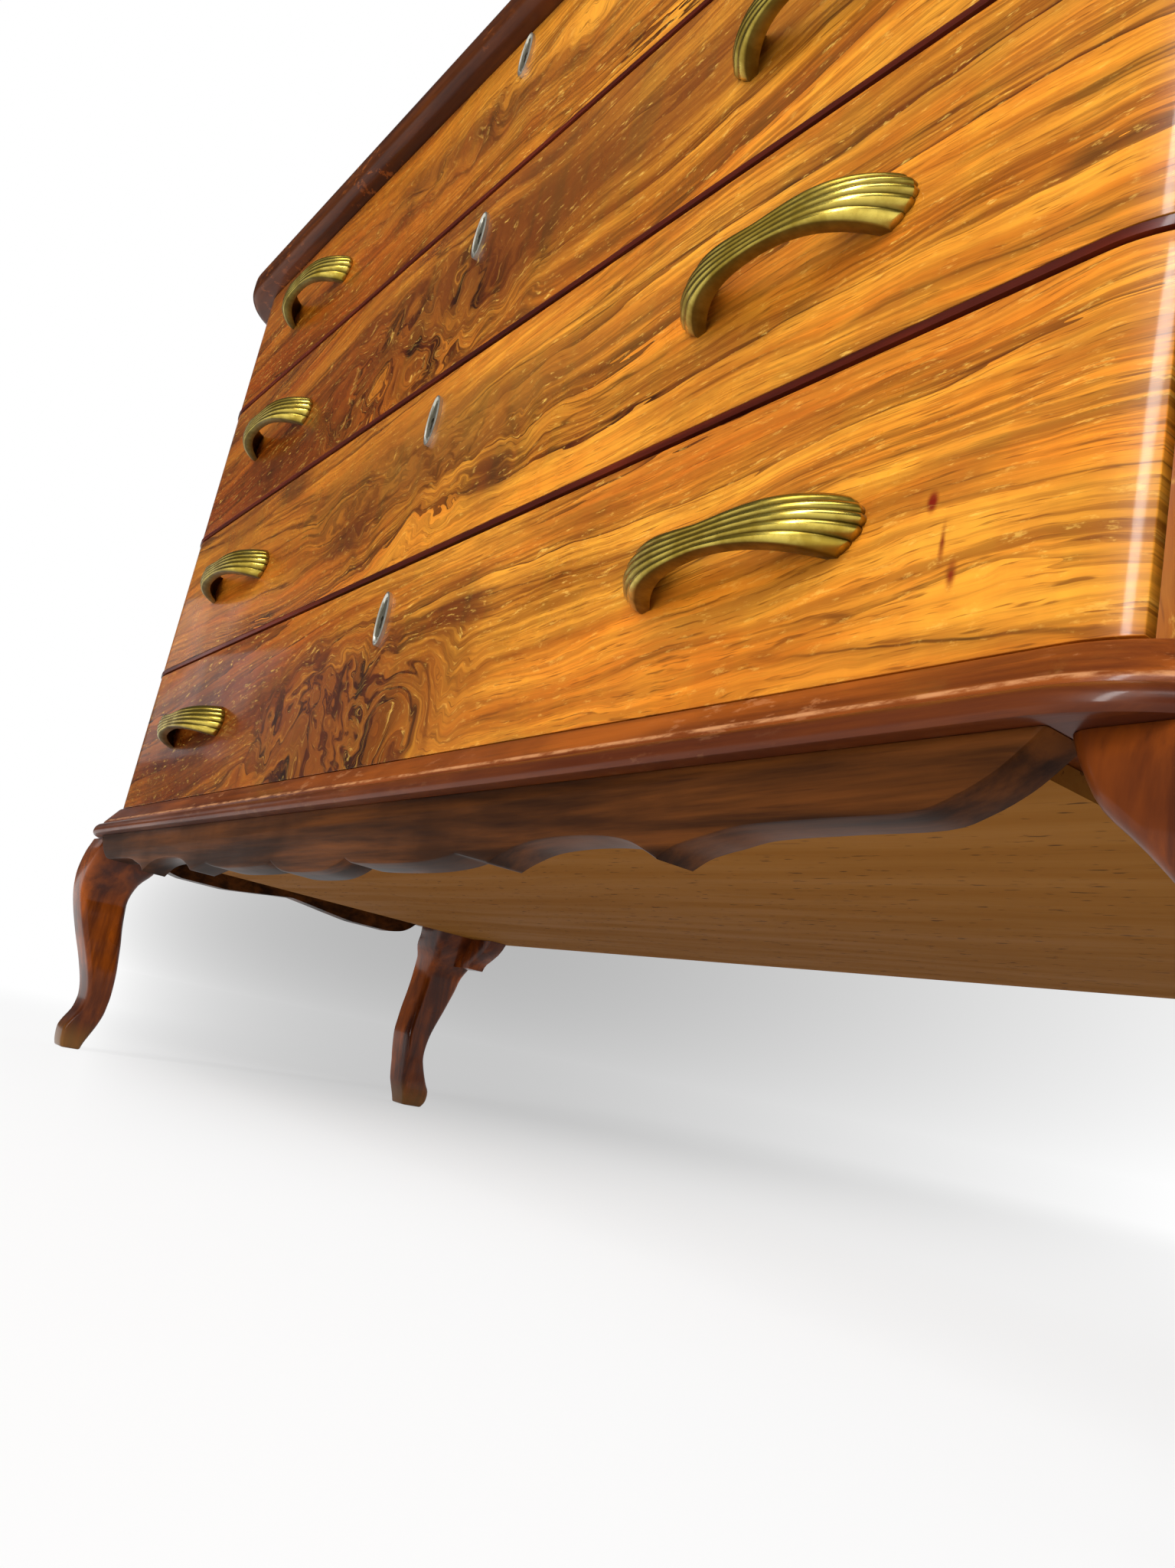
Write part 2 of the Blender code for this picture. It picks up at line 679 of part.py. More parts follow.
def make_drawer(number, top, bottom):
    """One drawer: shaped front, box, two pulls, key plate and lock."""
    label = "drawer_%d" % number
    middle = (top + bottom) / 2
    height = top - bottom
    curve_end = math.asin((front_half_length - corner_centre) / corner_radius)
    points = arc((corner_centre, corner_radius), corner_radius,
                 -math.pi / 2, curve_end - math.pi / 2, 4)
    points = points + [(front_half_length, front_thickness)]
    front = slab(label + "_front", mirrored(points), height, (0.0, front_plane, middle))

    def on_face_rim(first, second):
        level = abs(first.z - second.z) < fit_gap
        near = max(first.y, second.y) < front_thickness / 2
        return level and near and edge_is_outline(front, first, second, mirrored(points))

    round_edges(front, front_edge_round, 1, on_face_rim)
    shade_round(front, 30)

    plate_height = top - plate_drops[number - 1]
    reach = plate_thickness + overrun
    depth = front_thickness + reach + fit_gap / 2
    key_middle = front_plane - reach + depth / 2
    cutter = keyhole_cutter(label + "_keyhole", (0.0, key_middle, plate_height), depth)
    cut(front, cutter)
    paint(front, walnut, 0.25, 0.0)

    plate_middle = front_plane - fit_gap - plate_thickness / 2
    make_key_plate(label + "_escutcheon", (0.0, plate_middle, plate_height), front, cutter)
    lock_middle = front_plane + front_thickness + fit_gap + lock_thickness / 2
    lock_top = min(plate_height + lock_height / 2, top)
    lock = board(label + "_lock", (lock_width, lock_thickness, lock_height),
                 (0.0, lock_middle, lock_top - lock_height / 2), front)
    paint(lock, steel, 0.45, 1.0)

    floor = drawer_floor(number)
    outer = post_face - box_side_clearance
    start = front_plane + front_thickness + fit_gap
    for name, side in (("left", -1), ("right", 1)):
        x = side * (outer - box_side_thickness / 2)
        position = (x, start + box_length / 2, floor + box_side_height / 2)
        wall = board(label + "_side_" + name, (box_side_thickness, box_length, box_side_height),
                     position, front)
        paint(wall, oak, 0.65, 0.0)
        position = (side * pull_offset, front_plane - fit_gap, bottom - groove + pull_lifts[number - 1])
        make_pull(label + "_pull_" + name, position, front)
    inside = 2 * (outer - box_side_thickness - fit_gap)
    back_depth = start + box_length - box_side_thickness / 2
    floor_top = floor + box_bottom_lift + box_bottom_thickness
    back = board(label + "_back", (inside, box_side_thickness, box_back_height),
                 (0.0, back_depth, floor_top + fit_gap + box_back_height / 2), front)
    paint(back, oak, 0.65, 0.0)
    bottom_piece = board(label + "_bottom", (inside, box_length, box_bottom_thickness),
                         (0.0, start + box_length / 2, floor + box_bottom_lift + box_bottom_thickness / 2),
                         front)
    paint(bottom_piece, pine, 0.7, 0.0)


def make_drawers():
    edges = [case_top] + bead_lines() + [base_top]
    for number in range(1, 5):
        top = edges[number - 1] - (groove if number == 1 else bead_height / 2 + groove)
        bottom = edges[number] + (groove if number == 4 else bead_height / 2 + groove)
        make_drawer(number, top, bottom)


make_top()
make_sides()
make_back()
make_bottom()
make_rails()
make_runners()
make_moulding()
make_aprons()
make_legs()
make_drawers()
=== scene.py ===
import json
import math
import bmesh
import bpy
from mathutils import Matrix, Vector

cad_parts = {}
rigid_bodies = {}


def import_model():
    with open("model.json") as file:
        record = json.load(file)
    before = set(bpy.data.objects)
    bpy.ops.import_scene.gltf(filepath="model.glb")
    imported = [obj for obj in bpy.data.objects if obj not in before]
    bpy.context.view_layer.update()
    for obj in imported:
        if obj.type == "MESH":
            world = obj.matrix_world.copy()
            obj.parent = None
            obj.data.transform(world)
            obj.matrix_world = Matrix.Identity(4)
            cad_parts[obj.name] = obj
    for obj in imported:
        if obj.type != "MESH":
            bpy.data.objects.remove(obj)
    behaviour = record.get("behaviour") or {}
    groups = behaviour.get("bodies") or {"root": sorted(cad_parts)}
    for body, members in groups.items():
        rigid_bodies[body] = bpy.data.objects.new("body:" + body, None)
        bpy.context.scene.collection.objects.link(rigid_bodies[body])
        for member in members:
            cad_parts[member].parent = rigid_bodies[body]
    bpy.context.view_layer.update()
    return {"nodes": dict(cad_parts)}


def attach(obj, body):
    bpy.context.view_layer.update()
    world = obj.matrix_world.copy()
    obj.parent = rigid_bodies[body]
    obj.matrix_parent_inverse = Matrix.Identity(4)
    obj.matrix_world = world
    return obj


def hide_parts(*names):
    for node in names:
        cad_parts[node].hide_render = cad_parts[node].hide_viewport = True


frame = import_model()
nodes = frame["nodes"]
print("frame loaded, nodes:", len(nodes))

# the case, repeated from the part's own sizes, in metres
case = {
    "half": 0.612, "front": -0.2237, "depth": 0.475, "corner": 0.075,
    "baseTop": 0.2505, "top": 0.8749, "postFace": 0.5665, "sideInner": 0.592,
    "postDepth": 0.048, "gap": 0.0003,
}
cornerX = case["half"] - case["corner"]
backY = case["front"] + case["depth"]
near = 0.001  # how close two places count as the same


# small helpers for work in edit mode
def deselectAll():
    if bpy.context.object and bpy.context.object.mode != "OBJECT":
        bpy.ops.object.mode_set(mode="OBJECT")
    for thing in bpy.context.view_layer.objects:
        thing.select_set(False)


def pickOnly(thing):
    deselectAll()
    thing.select_set(True)
    bpy.context.view_layer.objects.active = thing


def selectEdges(thing, test):
    bpy.ops.object.mode_set(mode="EDIT")
    bpy.ops.mesh.select_all(action="DESELECT")
    bpy.ops.mesh.select_mode(type="EDGE")
    work = bmesh.from_edit_mesh(thing.data)
    picked = [edge for edge in work.edges if test(edge)]
    for edge in picked:
        edge.select_set(True)
    work.select_flush_mode()
    bmesh.update_edit_mesh(thing.data)
    return len(picked)


def middle(edge):
    return (edge.verts[0].co + edge.verts[1].co) / 2


def way(edge):
    return (edge.verts[1].co - edge.verts[0].co).normalized()


def upright(edge):
    return abs(way(edge).z) > 0.9


def lying(edge):
    return abs(way(edge).z) < 0.1


def addBlock(name, low, high):
    deselectAll()
    low, high = Vector(low), Vector(high)
    bpy.ops.mesh.primitive_cube_add(size=1, location=(low + high) / 2)
    block = bpy.context.object
    block.name = name
    block.scale = high - low
    bpy.ops.object.transform_apply()
    return block


def bevelWhere(thing, test, width, segments):
    pickOnly(thing)
    if selectEdges(thing, test):
        bpy.ops.mesh.bevel(offset=width, segments=segments, affect="EDGES", clamp_overlap=True)
    bpy.ops.object.mode_set(mode="OBJECT")


def sliceOff(thing, point, normal):
    pickOnly(thing)
    bpy.ops.object.mode_set(mode="EDIT")
    bpy.ops.mesh.select_all(action="SELECT")
    bpy.ops.mesh.bisect(plane_co=point, plane_no=normal, use_fill=True, clear_outer=True)
    bpy.ops.object.mode_set(mode="OBJECT")


def combine(thing, other, operation):
    pickOnly(thing)
    cutting = thing.modifiers.new("cut", "BOOLEAN")
    cutting.operation = operation
    cutting.solver = "EXACT"
    cutting.object = other
    bpy.ops.object.modifier_apply(modifier="cut")
    bpy.data.objects.remove(other)


# one flat face with the given corners, left selected in edit mode
def addFace(name, corners):
    deselectAll()
    bpy.ops.mesh.primitive_plane_add(size=0.01)
    flat = bpy.context.object
    flat.name = name
    bpy.ops.object.mode_set(mode="EDIT")
    work = bmesh.from_edit_mesh(flat.data)
    bmesh.ops.delete(work, geom=list(work.verts), context="VERTS")
    work.faces.new([work.verts.new(corner) for corner in corners])
    bmesh.update_edit_mesh(flat.data)
    bpy.ops.mesh.select_all(action="SELECT")
    return flat


def pushOut(shift):
    bpy.ops.mesh.extrude_region_move(TRANSFORM_OT_translate={"value": shift})


def closeUp(thing):
    bpy.ops.mesh.select_all(action="SELECT")
    bpy.ops.mesh.normals_make_consistent(inside=False)
    bpy.ops.object.mode_set(mode="OBJECT")
    return thing


# a smooth line through the points, which keeps its corners at the numbered ones
def smoothed(points, steps, corners=()):
    line = []
    last = len(points) - 1
    for index in range(last):
        first, second = points[index], points[index + 1]
        before = first if index == 0 or index in corners else points[index - 1]
        after = second if index + 1 == last or index + 1 in corners else points[index + 2]
        for step in range(steps):
            share = step / steps
            line.append(tuple(
                (2 * b + (c - a) * share + (2 * a - 5 * b + 4 * c - d) * share ** 2
                 + (3 * b - a - 3 * c + d) * share ** 3) / 2
                for a, b, c, d in zip(before, first, second, after)))
    line.append(tuple(points[last]))
    return line


def mirrorCopy(thing, name, signs, middleY):
    pickOnly(thing)
    bpy.ops.object.duplicate()
    copy = bpy.context.object
    copy.name = name
    copy.scale = signs
    copy.location = (0, middleY * (1 - signs[1]), 0)
    bpy.ops.object.transform_apply()
    bpy.ops.object.mode_set(mode="EDIT")
    return closeUp(copy)


def finishPiece(thing, body, covers, finish, smooth=35):
    pickOnly(thing)
    bpy.ops.object.transform_apply()
    bpy.ops.object.shade_smooth_by_angle(angle=math.radians(smooth))
    thing.data.materials.clear()
    thing.data.materials.append(finish)
    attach(thing, body)
    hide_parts(*covers)


# camera, at the place that the photograph was taken from
view = {"place": (0.7555, -0.5436, 0.0919), "turn": (103.158, -11.389, 52.888), "lens": 27.47}
cameraData = bpy.data.cameras.new("camera")
cameraData.lens = view["lens"]
cameraData.sensor_width = 36.0
cameraData.clip_start = 0.01
camera = bpy.data.objects.new("camera", cameraData)
camera.location = view["place"]
camera.rotation_euler = [math.radians(angle) for angle in view["turn"]]
bpy.context.scene.collection.objects.link(camera)
bpy.context.scene.camera = camera
bpy.context.scene.view_settings.view_transform = "Standard"
print("camera placed")


# node helpers add to the tree started last: a value is a number, a colour or another node's output
current = {}


def startTree(owner):
    owner.use_nodes = True
    owner.node_tree.nodes.clear()
    current["tree"] = owner.node_tree


def addNode(kind):
    return current["tree"].nodes.new("ShaderNode" + kind)


def link(output, socket):
    current["tree"].links.new(output, socket)


def newMaterial(name):
    material = bpy.data.materials.new(name)
    startTree(material)
    output, shader = addNode("OutputMaterial"), addNode("BsdfPrincipled")
    link(shader.outputs[0], output.inputs[0])
    return material, shader


def feed(socket, value):
    if isinstance(value, bpy.types.NodeSocket):
        link(value, socket)
    elif value is not None:
        socket.default_value = value


def place():
    return addNode("TexCoord").outputs["Object"]


def mapped(vector, scale=(1, 1, 1), shift=(0, 0, 0)):
    node = addNode("Mapping")
    feed(node.inputs["Vector"], vector)
    node.inputs["Scale"].default_value = scale
    node.inputs["Location"].default_value = shift
    return node.outputs[0]


def noise(vector, scale=1.0, detail=4.0, rough=0.55, distortion=0.0, colour=False):
    node = addNode("TexNoise")
    feed(node.inputs["Vector"], vector)
    node.inputs["Scale"].default_value = scale
    node.inputs["Detail"].default_value = detail
    node.inputs["Roughness"].default_value = rough
    node.inputs["Distortion"].default_value = distortion
    return node.outputs["Color" if colour else "Fac"]


def maths(operation, first, second=None, clamp=False):
    node = addNode("Math")
    node.operation = operation
    node.use_clamp = clamp
    for socket, value in zip(node.inputs, (first, second)):
        feed(socket, value)
    return node.outputs[0]


def vectorMaths(operation, first, second=None, amount=None):
    node = addNode("VectorMath")
    node.operation = operation
    feed(node.inputs[0], first)
    feed(node.inputs[1], second)
    if amount is not None:
        feed(node.inputs["Scale"], amount)
    return node.outputs["Value" if operation == "LENGTH" else "Vector"]


def between(value, low, high, first=0.0, last=1.0):
    node = addNode("MapRange")
    node.interpolation_type = "SMOOTHSTEP"
    feed(node.inputs["Value"], value)
    for name, number in (("From Min", low), ("From Max", high), ("To Min", first), ("To Max", last)):
        feed(node.inputs[name], number)
    return node.outputs[0]


def mixed(share, first, second, blend="MIX"):
    node = addNode("Mix")
    node.data_type = "RGBA"
    node.blend_type = blend
    feed(node.inputs[0], share)
    feed(node.inputs[6], first)
    feed(node.inputs[7], second)
    return node.outputs[2]


def axis(vector, name):
    node = addNode("SeparateXYZ")
    feed(node.inputs[0], vector)
    return node.outputs[name]


def joined(x, y, z):
    node = addNode("CombineXYZ")
    for socket, value in zip(node.inputs, (x, y, z)):
        feed(socket, value)
    return node.outputs[0]


def bump(height, strength, distance):
    node = addNode("Bump")
    node.inputs["Strength"].default_value = strength
    node.inputs["Distance"].default_value = distance
    feed(node.inputs["Height"], height)
    return node.outputs[0]


def tone(red, green, blue):
    parts = []
    for part in (red, green, blue):
        share = part / 255
        parts.append(share / 12.92 if share <= 0.04045 else ((share + 0.055) / 1.055) ** 2.4)
    return (*parts, 1.0)


# product, sum and distance from the middle, for shorter lines below
def times(first, *others):
    for other in others:
        first = maths("MULTIPLY", first, other)
    return first


def plus(first, *others):
    for other in others:
        first = maths("ADD", first, other)
    return first


def minus(first, second):
    return maths("SUBTRACT", first, second)


def around(value, amount):
    return times(minus(value, 0.5), amount)


def ridgeOf(value):
    return maths("ABSOLUTE", minus(value, 0.5))


def finishShader(shader, body, rough, relief, constants):
    height, strength, distance = relief
    feed(shader.inputs["Base Color"], body)
    feed(shader.inputs["Roughness"], rough)
    feed(shader.inputs["Normal"], bump(height, strength, distance))
    for socket, value in constants.items():
        shader.inputs[socket].default_value = value


# walnut veneer: year lines with brown bands above them, flames round a few centres, pores and specks
veneer = {
    "gold": tone(240, 164, 50), "orange": tone(230, 126, 26), "red": tone(166, 70, 14),
    "brown": tone(116, 66, 16), "dark": tone(46, 20, 6), "speck": tone(252, 204, 96),
    "shade": tone(112, 52, 8), "leftTint": (0.44, 0.27, 0.12, 1.0), "wave": 0.10, "waver": 0.009,
    "tilt": 0.05, "turn": 0.26, "lines": 22.0, "wander": 3.6, "bandShare": 0.60, "streakShare": 0.40,
    "veinHalo": 0.55, "ragged": 2.2, "poreDepth": 0.4, "bandGlint": 0.30, "plainGlint": 0.26,
}
# its noises: scale across, in depth and up, then shift, detail, roughness and any distortion
figures = {
    "slow": ((1.7, 1, 4.2), (0, 0, 0), 2.0, 0.5),
    "fine": ((12.0, 1, 34.0), (0, 0, 0), 3.0, 0.55),
    "curl": ((11.0, 1, 13.0), (0, 0, 0), 3.0, 0.5, 0.6),
    "loose": ((0.9, 1, 11.0), (0, 0, 0), 5.0, 0.6),
    "keep": ((1.3, 1, 10.0), (4.1, 0, 2.3), 4.0, 0.6),
    "coarse": ((2.2, 1, 40.0), (0, 0, 0), 6.0, 0.62),
    "thin": ((7.0, 1, 300.0), (0, 0, 0), 5.0, 0.68),
    "cloud": ((1.4, 1, 8.0), (1.7, 0, 5.9), 3.0, 0.5),
    "feather": ((3.2, 1, 90.0), (0, 0, 0), 6.0, 0.7),
    "trace": ((0.9, 1, 17.0), (5.3, 0, 3.1), 4.0, 0.55),
    "mottle": ((5.0, 1, 24.0), (0.7, 0, 9.1), 5.0, 0.65),
    "ridge": ((6.5, 1, 11.0), (2.9, 0, 8.8), 5.0, 0.55, 0.9),
    "pores": ((38.0, 1, 800.0), (0, 0, 0), 2.0, 0.6),
    "ripple": ((46.0, 1, 9.0), (0, 0, 0), 3.0, 0.6),
    "specks": ((80.0, 1, 330.0), (0, 0, 0), 4.0, 0.7),
    "smear": ((14.0, 1, 14.0), (0, 0, 0), 4.0, 0.6),
}
# where each figure starts and ends, and its strength at both
edges = {
    "blotch": (1.0, 0.15), "line": (0.075, 0.01), "band": (0.95, 0.02), "keep": (0.36, 0.55),
    "gold": (0.34, 0.62), "goldCloud": (0.40, 0.66), "redCloud": (0.54, 0.32), "thin": (0.40, 0.60),
    "feather": (0.34, 0.58, 0.35, 1.0), "lined": (0.30, 0.60, 0.5, 1.0), "beside": (0.050, 0.004),
    "besideShare": (0.30, 0.60, 0.15, 0.75), "trace": (0.0085, 0.0015),
    "traceShare": (0.36, 0.62, 0.1, 0.75), "mottle": (0.48, 0.66, 0.0, 0.45), "vein": (0.038, 0.008),
    "halo": (0.13, 0.01), "left": (0.22, -0.30), "pores": (0.57, 0.70, 0.0, 0.75),
    "ripple": (0.38, 0.66, 0.16, 0.0), "specks": (0.57, 0.70), "gloss": (0.3, 0.7, 0.26, 0.38),
}


def figure(vector, name):
    scale, shift, detail, rough, *distortion = figures[name]
    return noise(mapped(vector, scale, shift), 1.0, detail, rough, *distortion)


def edged(value, name, *ends):
    return between(value, *edges[name], *ends)


def blotch(across, up, spot, size, waver):
    x = maths("DIVIDE", minus(across, spot[0]), size[0])
    z = maths("DIVIDE", minus(up, spot[1]), size[1])
    reach = vectorMaths("LENGTH", joined(x, z, 0.0))
    return edged(plus(reach, waver), "blotch")


def walnut(name, along, seed, redness, flames=(), blotches=(), darkness=0.5, goldShare=0.5, leftShade=0.0):
    material, shader = newMaterial(name)
    spot = place()
    across = axis(spot, along)
    up = axis(spot, "Z" if along == "X" else "Y")
    flat = joined(across, seed * 3.7, up)
    # slow waves that the grain follows, and stronger turns inside the flames
    slow = figure(flat, "slow")
    drift = plus(around(slow, veneer["wave"]), around(figure(flat, "fine"), veneer["waver"]),
                 times(across, -veneer["tilt"]))
    swirl = 0.0
    for centre, size, strength in flames:
        area = blotch(across, up, centre, size, around(slow, 0.5))
        swirl = plus(times(area, strength), swirl)
    turned = around(figure(flat, "curl"), times(swirl, veneer["turn"]))
    height = plus(up, drift, turned)
    grain = joined(across, seed * 5.1, height)
    # a dark line, sharp below, with a streaky brown band that fades out above it
    loose = times(figure(grain, "loose"), veneer["wander"])
    saw = maths("FRACT", plus(times(height, veneer["lines"]), loose))
    line = edged(saw, "line")
    keep = edged(figure(grain, "keep"), "keep")
    band = times(edged(saw, "band"), keep)
    # ground colour, then streaks along the grain, coarse and fine
    coarse = figure(grain, "coarse")
    thin = figure(grain, "thin")
    cloud = figure(grain, "cloud")
    feather = figure(grain, "feather")
    body = mixed(edged(coarse, "gold"), veneer["orange"], veneer["gold"])
    body = mixed(edged(cloud, "goldCloud", 0.0, goldShare), body, veneer["gold"])
    body = mixed(edged(cloud, "redCloud", 0.0, redness), body, veneer["red"])
    feathered = times(band, edged(feather, "feather"), darkness)
    body = mixed(feathered, body, veneer["brown"])
    streaks = plus(times(band, veneer["bandShare"]), veneer["streakShare"])
    body = mixed(times(streaks, edged(thin, "thin")), body, veneer["brown"])
    lined = times(line, keep, edged(coarse, "lined"))
    body = mixed(lined, body, veneer["dark"])
    # long thin lines, each with a shade beside it
    trace = ridgeOf(figure(grain, "trace"))
    beside = times(edged(trace, "beside"), edged(feather, "besideShare"), darkness)
    body = mixed(beside, body, veneer["brown"])
    traced = times(edged(trace, "trace"), edged(coarse, "traceShare"))
    body = mixed(traced, body, veneer["dark"])
    body = mixed(edged(figure(grain, "mottle"), "mottle"), body, veneer["brown"])
    for centre, size, strength, colour in blotches:
        area = blotch(across, up, centre, size, around(coarse, veneer["ragged"]))
        body = mixed(times(area, strength), body, colour)
    # veins of the flames
    if flames:
        ridge = ridgeOf(figure(grain, "ridge"))
        halo = times(swirl, veneer["veinHalo"])
        halo = maths("MULTIPLY", edged(ridge, "halo"), halo, clamp=True)
        vein = maths("MULTIPLY", edged(ridge, "vein"), swirl, clamp=True)
        body = mixed(halo, body, veneer["brown"])
        body = mixed(vein, body, veneer["dark"])
    # the left of each front is darker and redder
    if leftShade:
        shade = edged(across, "left", 0.0, leftShade)
        body = mixed(shade, body, veneer["leftTint"], "MULTIPLY")
    # pores, a cross figure and gold specks; the specks are painted glints, a painted highlight of the
    # veneer's shimmer
    pores = figure(grain, "pores")
    body = mixed(edged(pores, "pores"), body, veneer["brown"])
    body = mixed(edged(figure(flat, "ripple"), "ripple"), body, veneer["red"])
    glints = plus(times(band, veneer["bandGlint"]), veneer["plainGlint"])
    glints = times(edged(figure(grain, "specks"), "specks"), glints)
    body = mixed(glints, body, veneer["speck"])
    rough = edged(figure(flat, "smear"), "gloss")
    relief = plus(times(pores, veneer["poreDepth"]), thin)
    finishShader(shader, body, rough, (relief, 0.12, 0.0004),
                 {"Specular IOR Level": 0.12, "Coat Weight": 0.22, "Coat Roughness": 0.08})
    return material


# dark stained wood for the top, beads, moulding, aprons and legs
stain = {
    "X": (3.0, 40.0, 60.0), "Y": (40.0, 3.0, 60.0), "Z": (40.0, 40.0, 4.0), "fineScale": 6,
    "streak": (0.35, 0.70), "cloud": (0.40, 0.68, 0.0, 0.65), "fine": (0.55, 0.75, 0.0, 0.35),
    "chip": (0.56, 0.62), "patch": (0.45, 0.60), "edgeChipAndSheen": (0.36, 0.60), "offEdge": 0.35,
    "toe": (0.042, 0.012), "knee": (0.17, 0.23), "toeWaver": 0.02, "glossSpan": 0.16,
    "soot": tone(24, 10, 8), "toeTint": tone(138, 98, 44), "underShadeTint": tone(62, 26, 14),
}


def stained(name, along, seed, deep, warm, wear=0.0, wearAndSheenColour=None, sheenAndWearLine=None, gloss=0.28,
            coat=0.15, shine=0.12, toeWearAndTopDark=0.0):
    material, shader = newMaterial(name)
    spot = place()
    up = axis(spot, "Z")
    scale = stain[along]
    streak = noise(mapped(spot, scale, (seed, seed * 2, seed * 3)), 1.0, 6.0, 0.6, 0.3)
    cloud = noise(mapped(spot, (7, 7, 9), (seed, 0, 0)), 1.0, 4.0, 0.55)
    fine = noise(mapped(spot, tuple(part * stain["fineScale"] for part in scale)), 1.0, 4.0, 0.6)
    body = mixed(between(streak, *stain["streak"]), deep, warm)
    body = mixed(between(cloud, *stain["cloud"]), body, deep)
    body = mixed(between(fine, *stain["fine"]), body, stain["soot"])
    # chipped spots of wear, most of them along one edge where a height is given; that pale line is partly
    # worn chips and partly a painted sheen along the edge
    if wear:
        chips = noise(mapped(spot, (60, 60, 190)), 1.0, 5.0, 0.7)
        patch = noise(mapped(spot, (11, 11, 11), (3.3, 0, 0)), 1.0, 2.0, 0.5)
        worn = times(between(chips, *stain["chip"]), between(patch, *stain["patch"]))
        if sheenAndWearLine:
            level, width = sheenAndWearLine
            off = maths("ABSOLUTE", minus(up, level))
            # the pale line: worn chips and a painted sheen along the given height
            edge = times(between(off, width, width * 0.3), between(chips, *stain["edgeChipAndSheen"]))
            worn = maths("MAXIMUM", times(worn, stain["offEdge"]), edge)
        body = mixed(times(worn, wear), body, wearAndSheenColour)
    # toes painted lighter where worn; the top of each leg painted darker
    if toeWearAndTopDark:
        toe = plus(up, times(streak, stain["toeWaver"]))
        body = mixed(between(toe, *stain["toe"], 0.0, toeWearAndTopDark), body, stain["toeTint"])
        body = mixed(between(toe, *stain["knee"], 0.0, toeWearAndTopDark), body, deep)
    # painted shade: below the given line, over the lower nose and underside, the wood is painted darker
    if sheenAndWearLine:
        below = between(up, sheenAndWearLine[0] - 0.001, sheenAndWearLine[0] - 0.006, 0.0, 0.6)
        body = mixed(below, body, stain["underShadeTint"])
    rough = between(cloud, 0.3, 0.7, gloss, gloss + stain["glossSpan"])
    finishShader(shader, body, rough, (plus(streak, fine), 0.15, 0.0005),
                 {"Specular IOR Level": shine, "Coat Weight": coat, "Coat Roughness": 0.10})
    return material


# raw boards of the drawer boxes, runners, back and bottom
raw = {
    "X": (2.0, 34.0, 34.0), "Y": (34.0, 2.0, 34.0), "bend": 0.05, "fineScale": 7, "fleckAlong": 32,
    "fleckAcross": 9, "streak": (0.32, 0.70), "fine": (0.62, 0.74), "fleck": (0.64, 0.72),
    "grime": (0.5, 0.75, 0.0, 0.35), "gloss": (0.3, 0.7, 0.66, 0.86), "fineTint": tone(58, 34, 16),
    "fleckTint": tone(66, 38, 14),
}


def rawWood(name, along, seed, light, dark, flecks=0.3):
    material, shader = newMaterial(name)
    spot = place()
    scale = raw[along]
    bend = noise(mapped(spot, (2.5, 2.5, 2.5), (seed, 0, 0)), 1.0, 2.0, 0.5, colour=True)
    bent = vectorMaths("ADD", spot, vectorMaths("SCALE", bend, amount=raw["bend"]))
    streak = noise(mapped(bent, scale, (seed, seed, 0)), 1.0, 5.0, 0.6)
    fine = noise(mapped(bent, tuple(part * raw["fineScale"] for part in scale)), 1.0, 3.0, 0.6)
    fleckScale = tuple(part * raw["fleckAlong" if part == min(scale) else "fleckAcross"] for part in scale)
    fleck = noise(mapped(bent, fleckScale), 1.0, 2.0, 0.5)
    grime = noise(mapped(spot, (4, 4, 4)), 1.0, 4.0, 0.6)
    body = mixed(between(streak, *raw["streak"]), light, dark)
    body = mixed(between(fine, *raw["fine"], 0.0, flecks * 0.5), body, raw["fineTint"])
    body = mixed(between(fleck, *raw["fleck"], 0.0, flecks * 1.6), body, raw["fleckTint"])
    body = mixed(between(grime, *raw["grime"]), body, dark)
    finishShader(shader, body, between(streak, *raw["gloss"]), (plus(streak, fine), 0.25, 0.0008),
                 {"Specular IOR Level": 0.08})
    return material


# metal, dirty where the attribute called hollow is high
def agedMetal(name, bright, dull, dirt, rough, seed=0.0):
    material, shader = newMaterial(name)
    spot = place()
    cloud = noise(mapped(spot, (55, 55, 55), (seed, 0, 0)), 1.0, 5.0, 0.6)
    scratch = noise(mapped(spot, (120, 900, 900)), 1.0, 4.0, 0.65)
    hollow = addNode("Attribute")
    hollow.attribute_name = "hollow"
    body = mixed(between(cloud, 0.35, 0.65), bright, dull)
    body = mixed(times(hollow.outputs["Fac"], 0.85), body, dirt)
    worn = plus(between(cloud, 0.3, 0.7, rough, rough + 0.14), times(hollow.outputs["Fac"], 0.2))
    finishShader(shader, body, worn, (plus(scratch, cloud), 0.10, 0.0002), {"Metallic": 1.0})
    return material


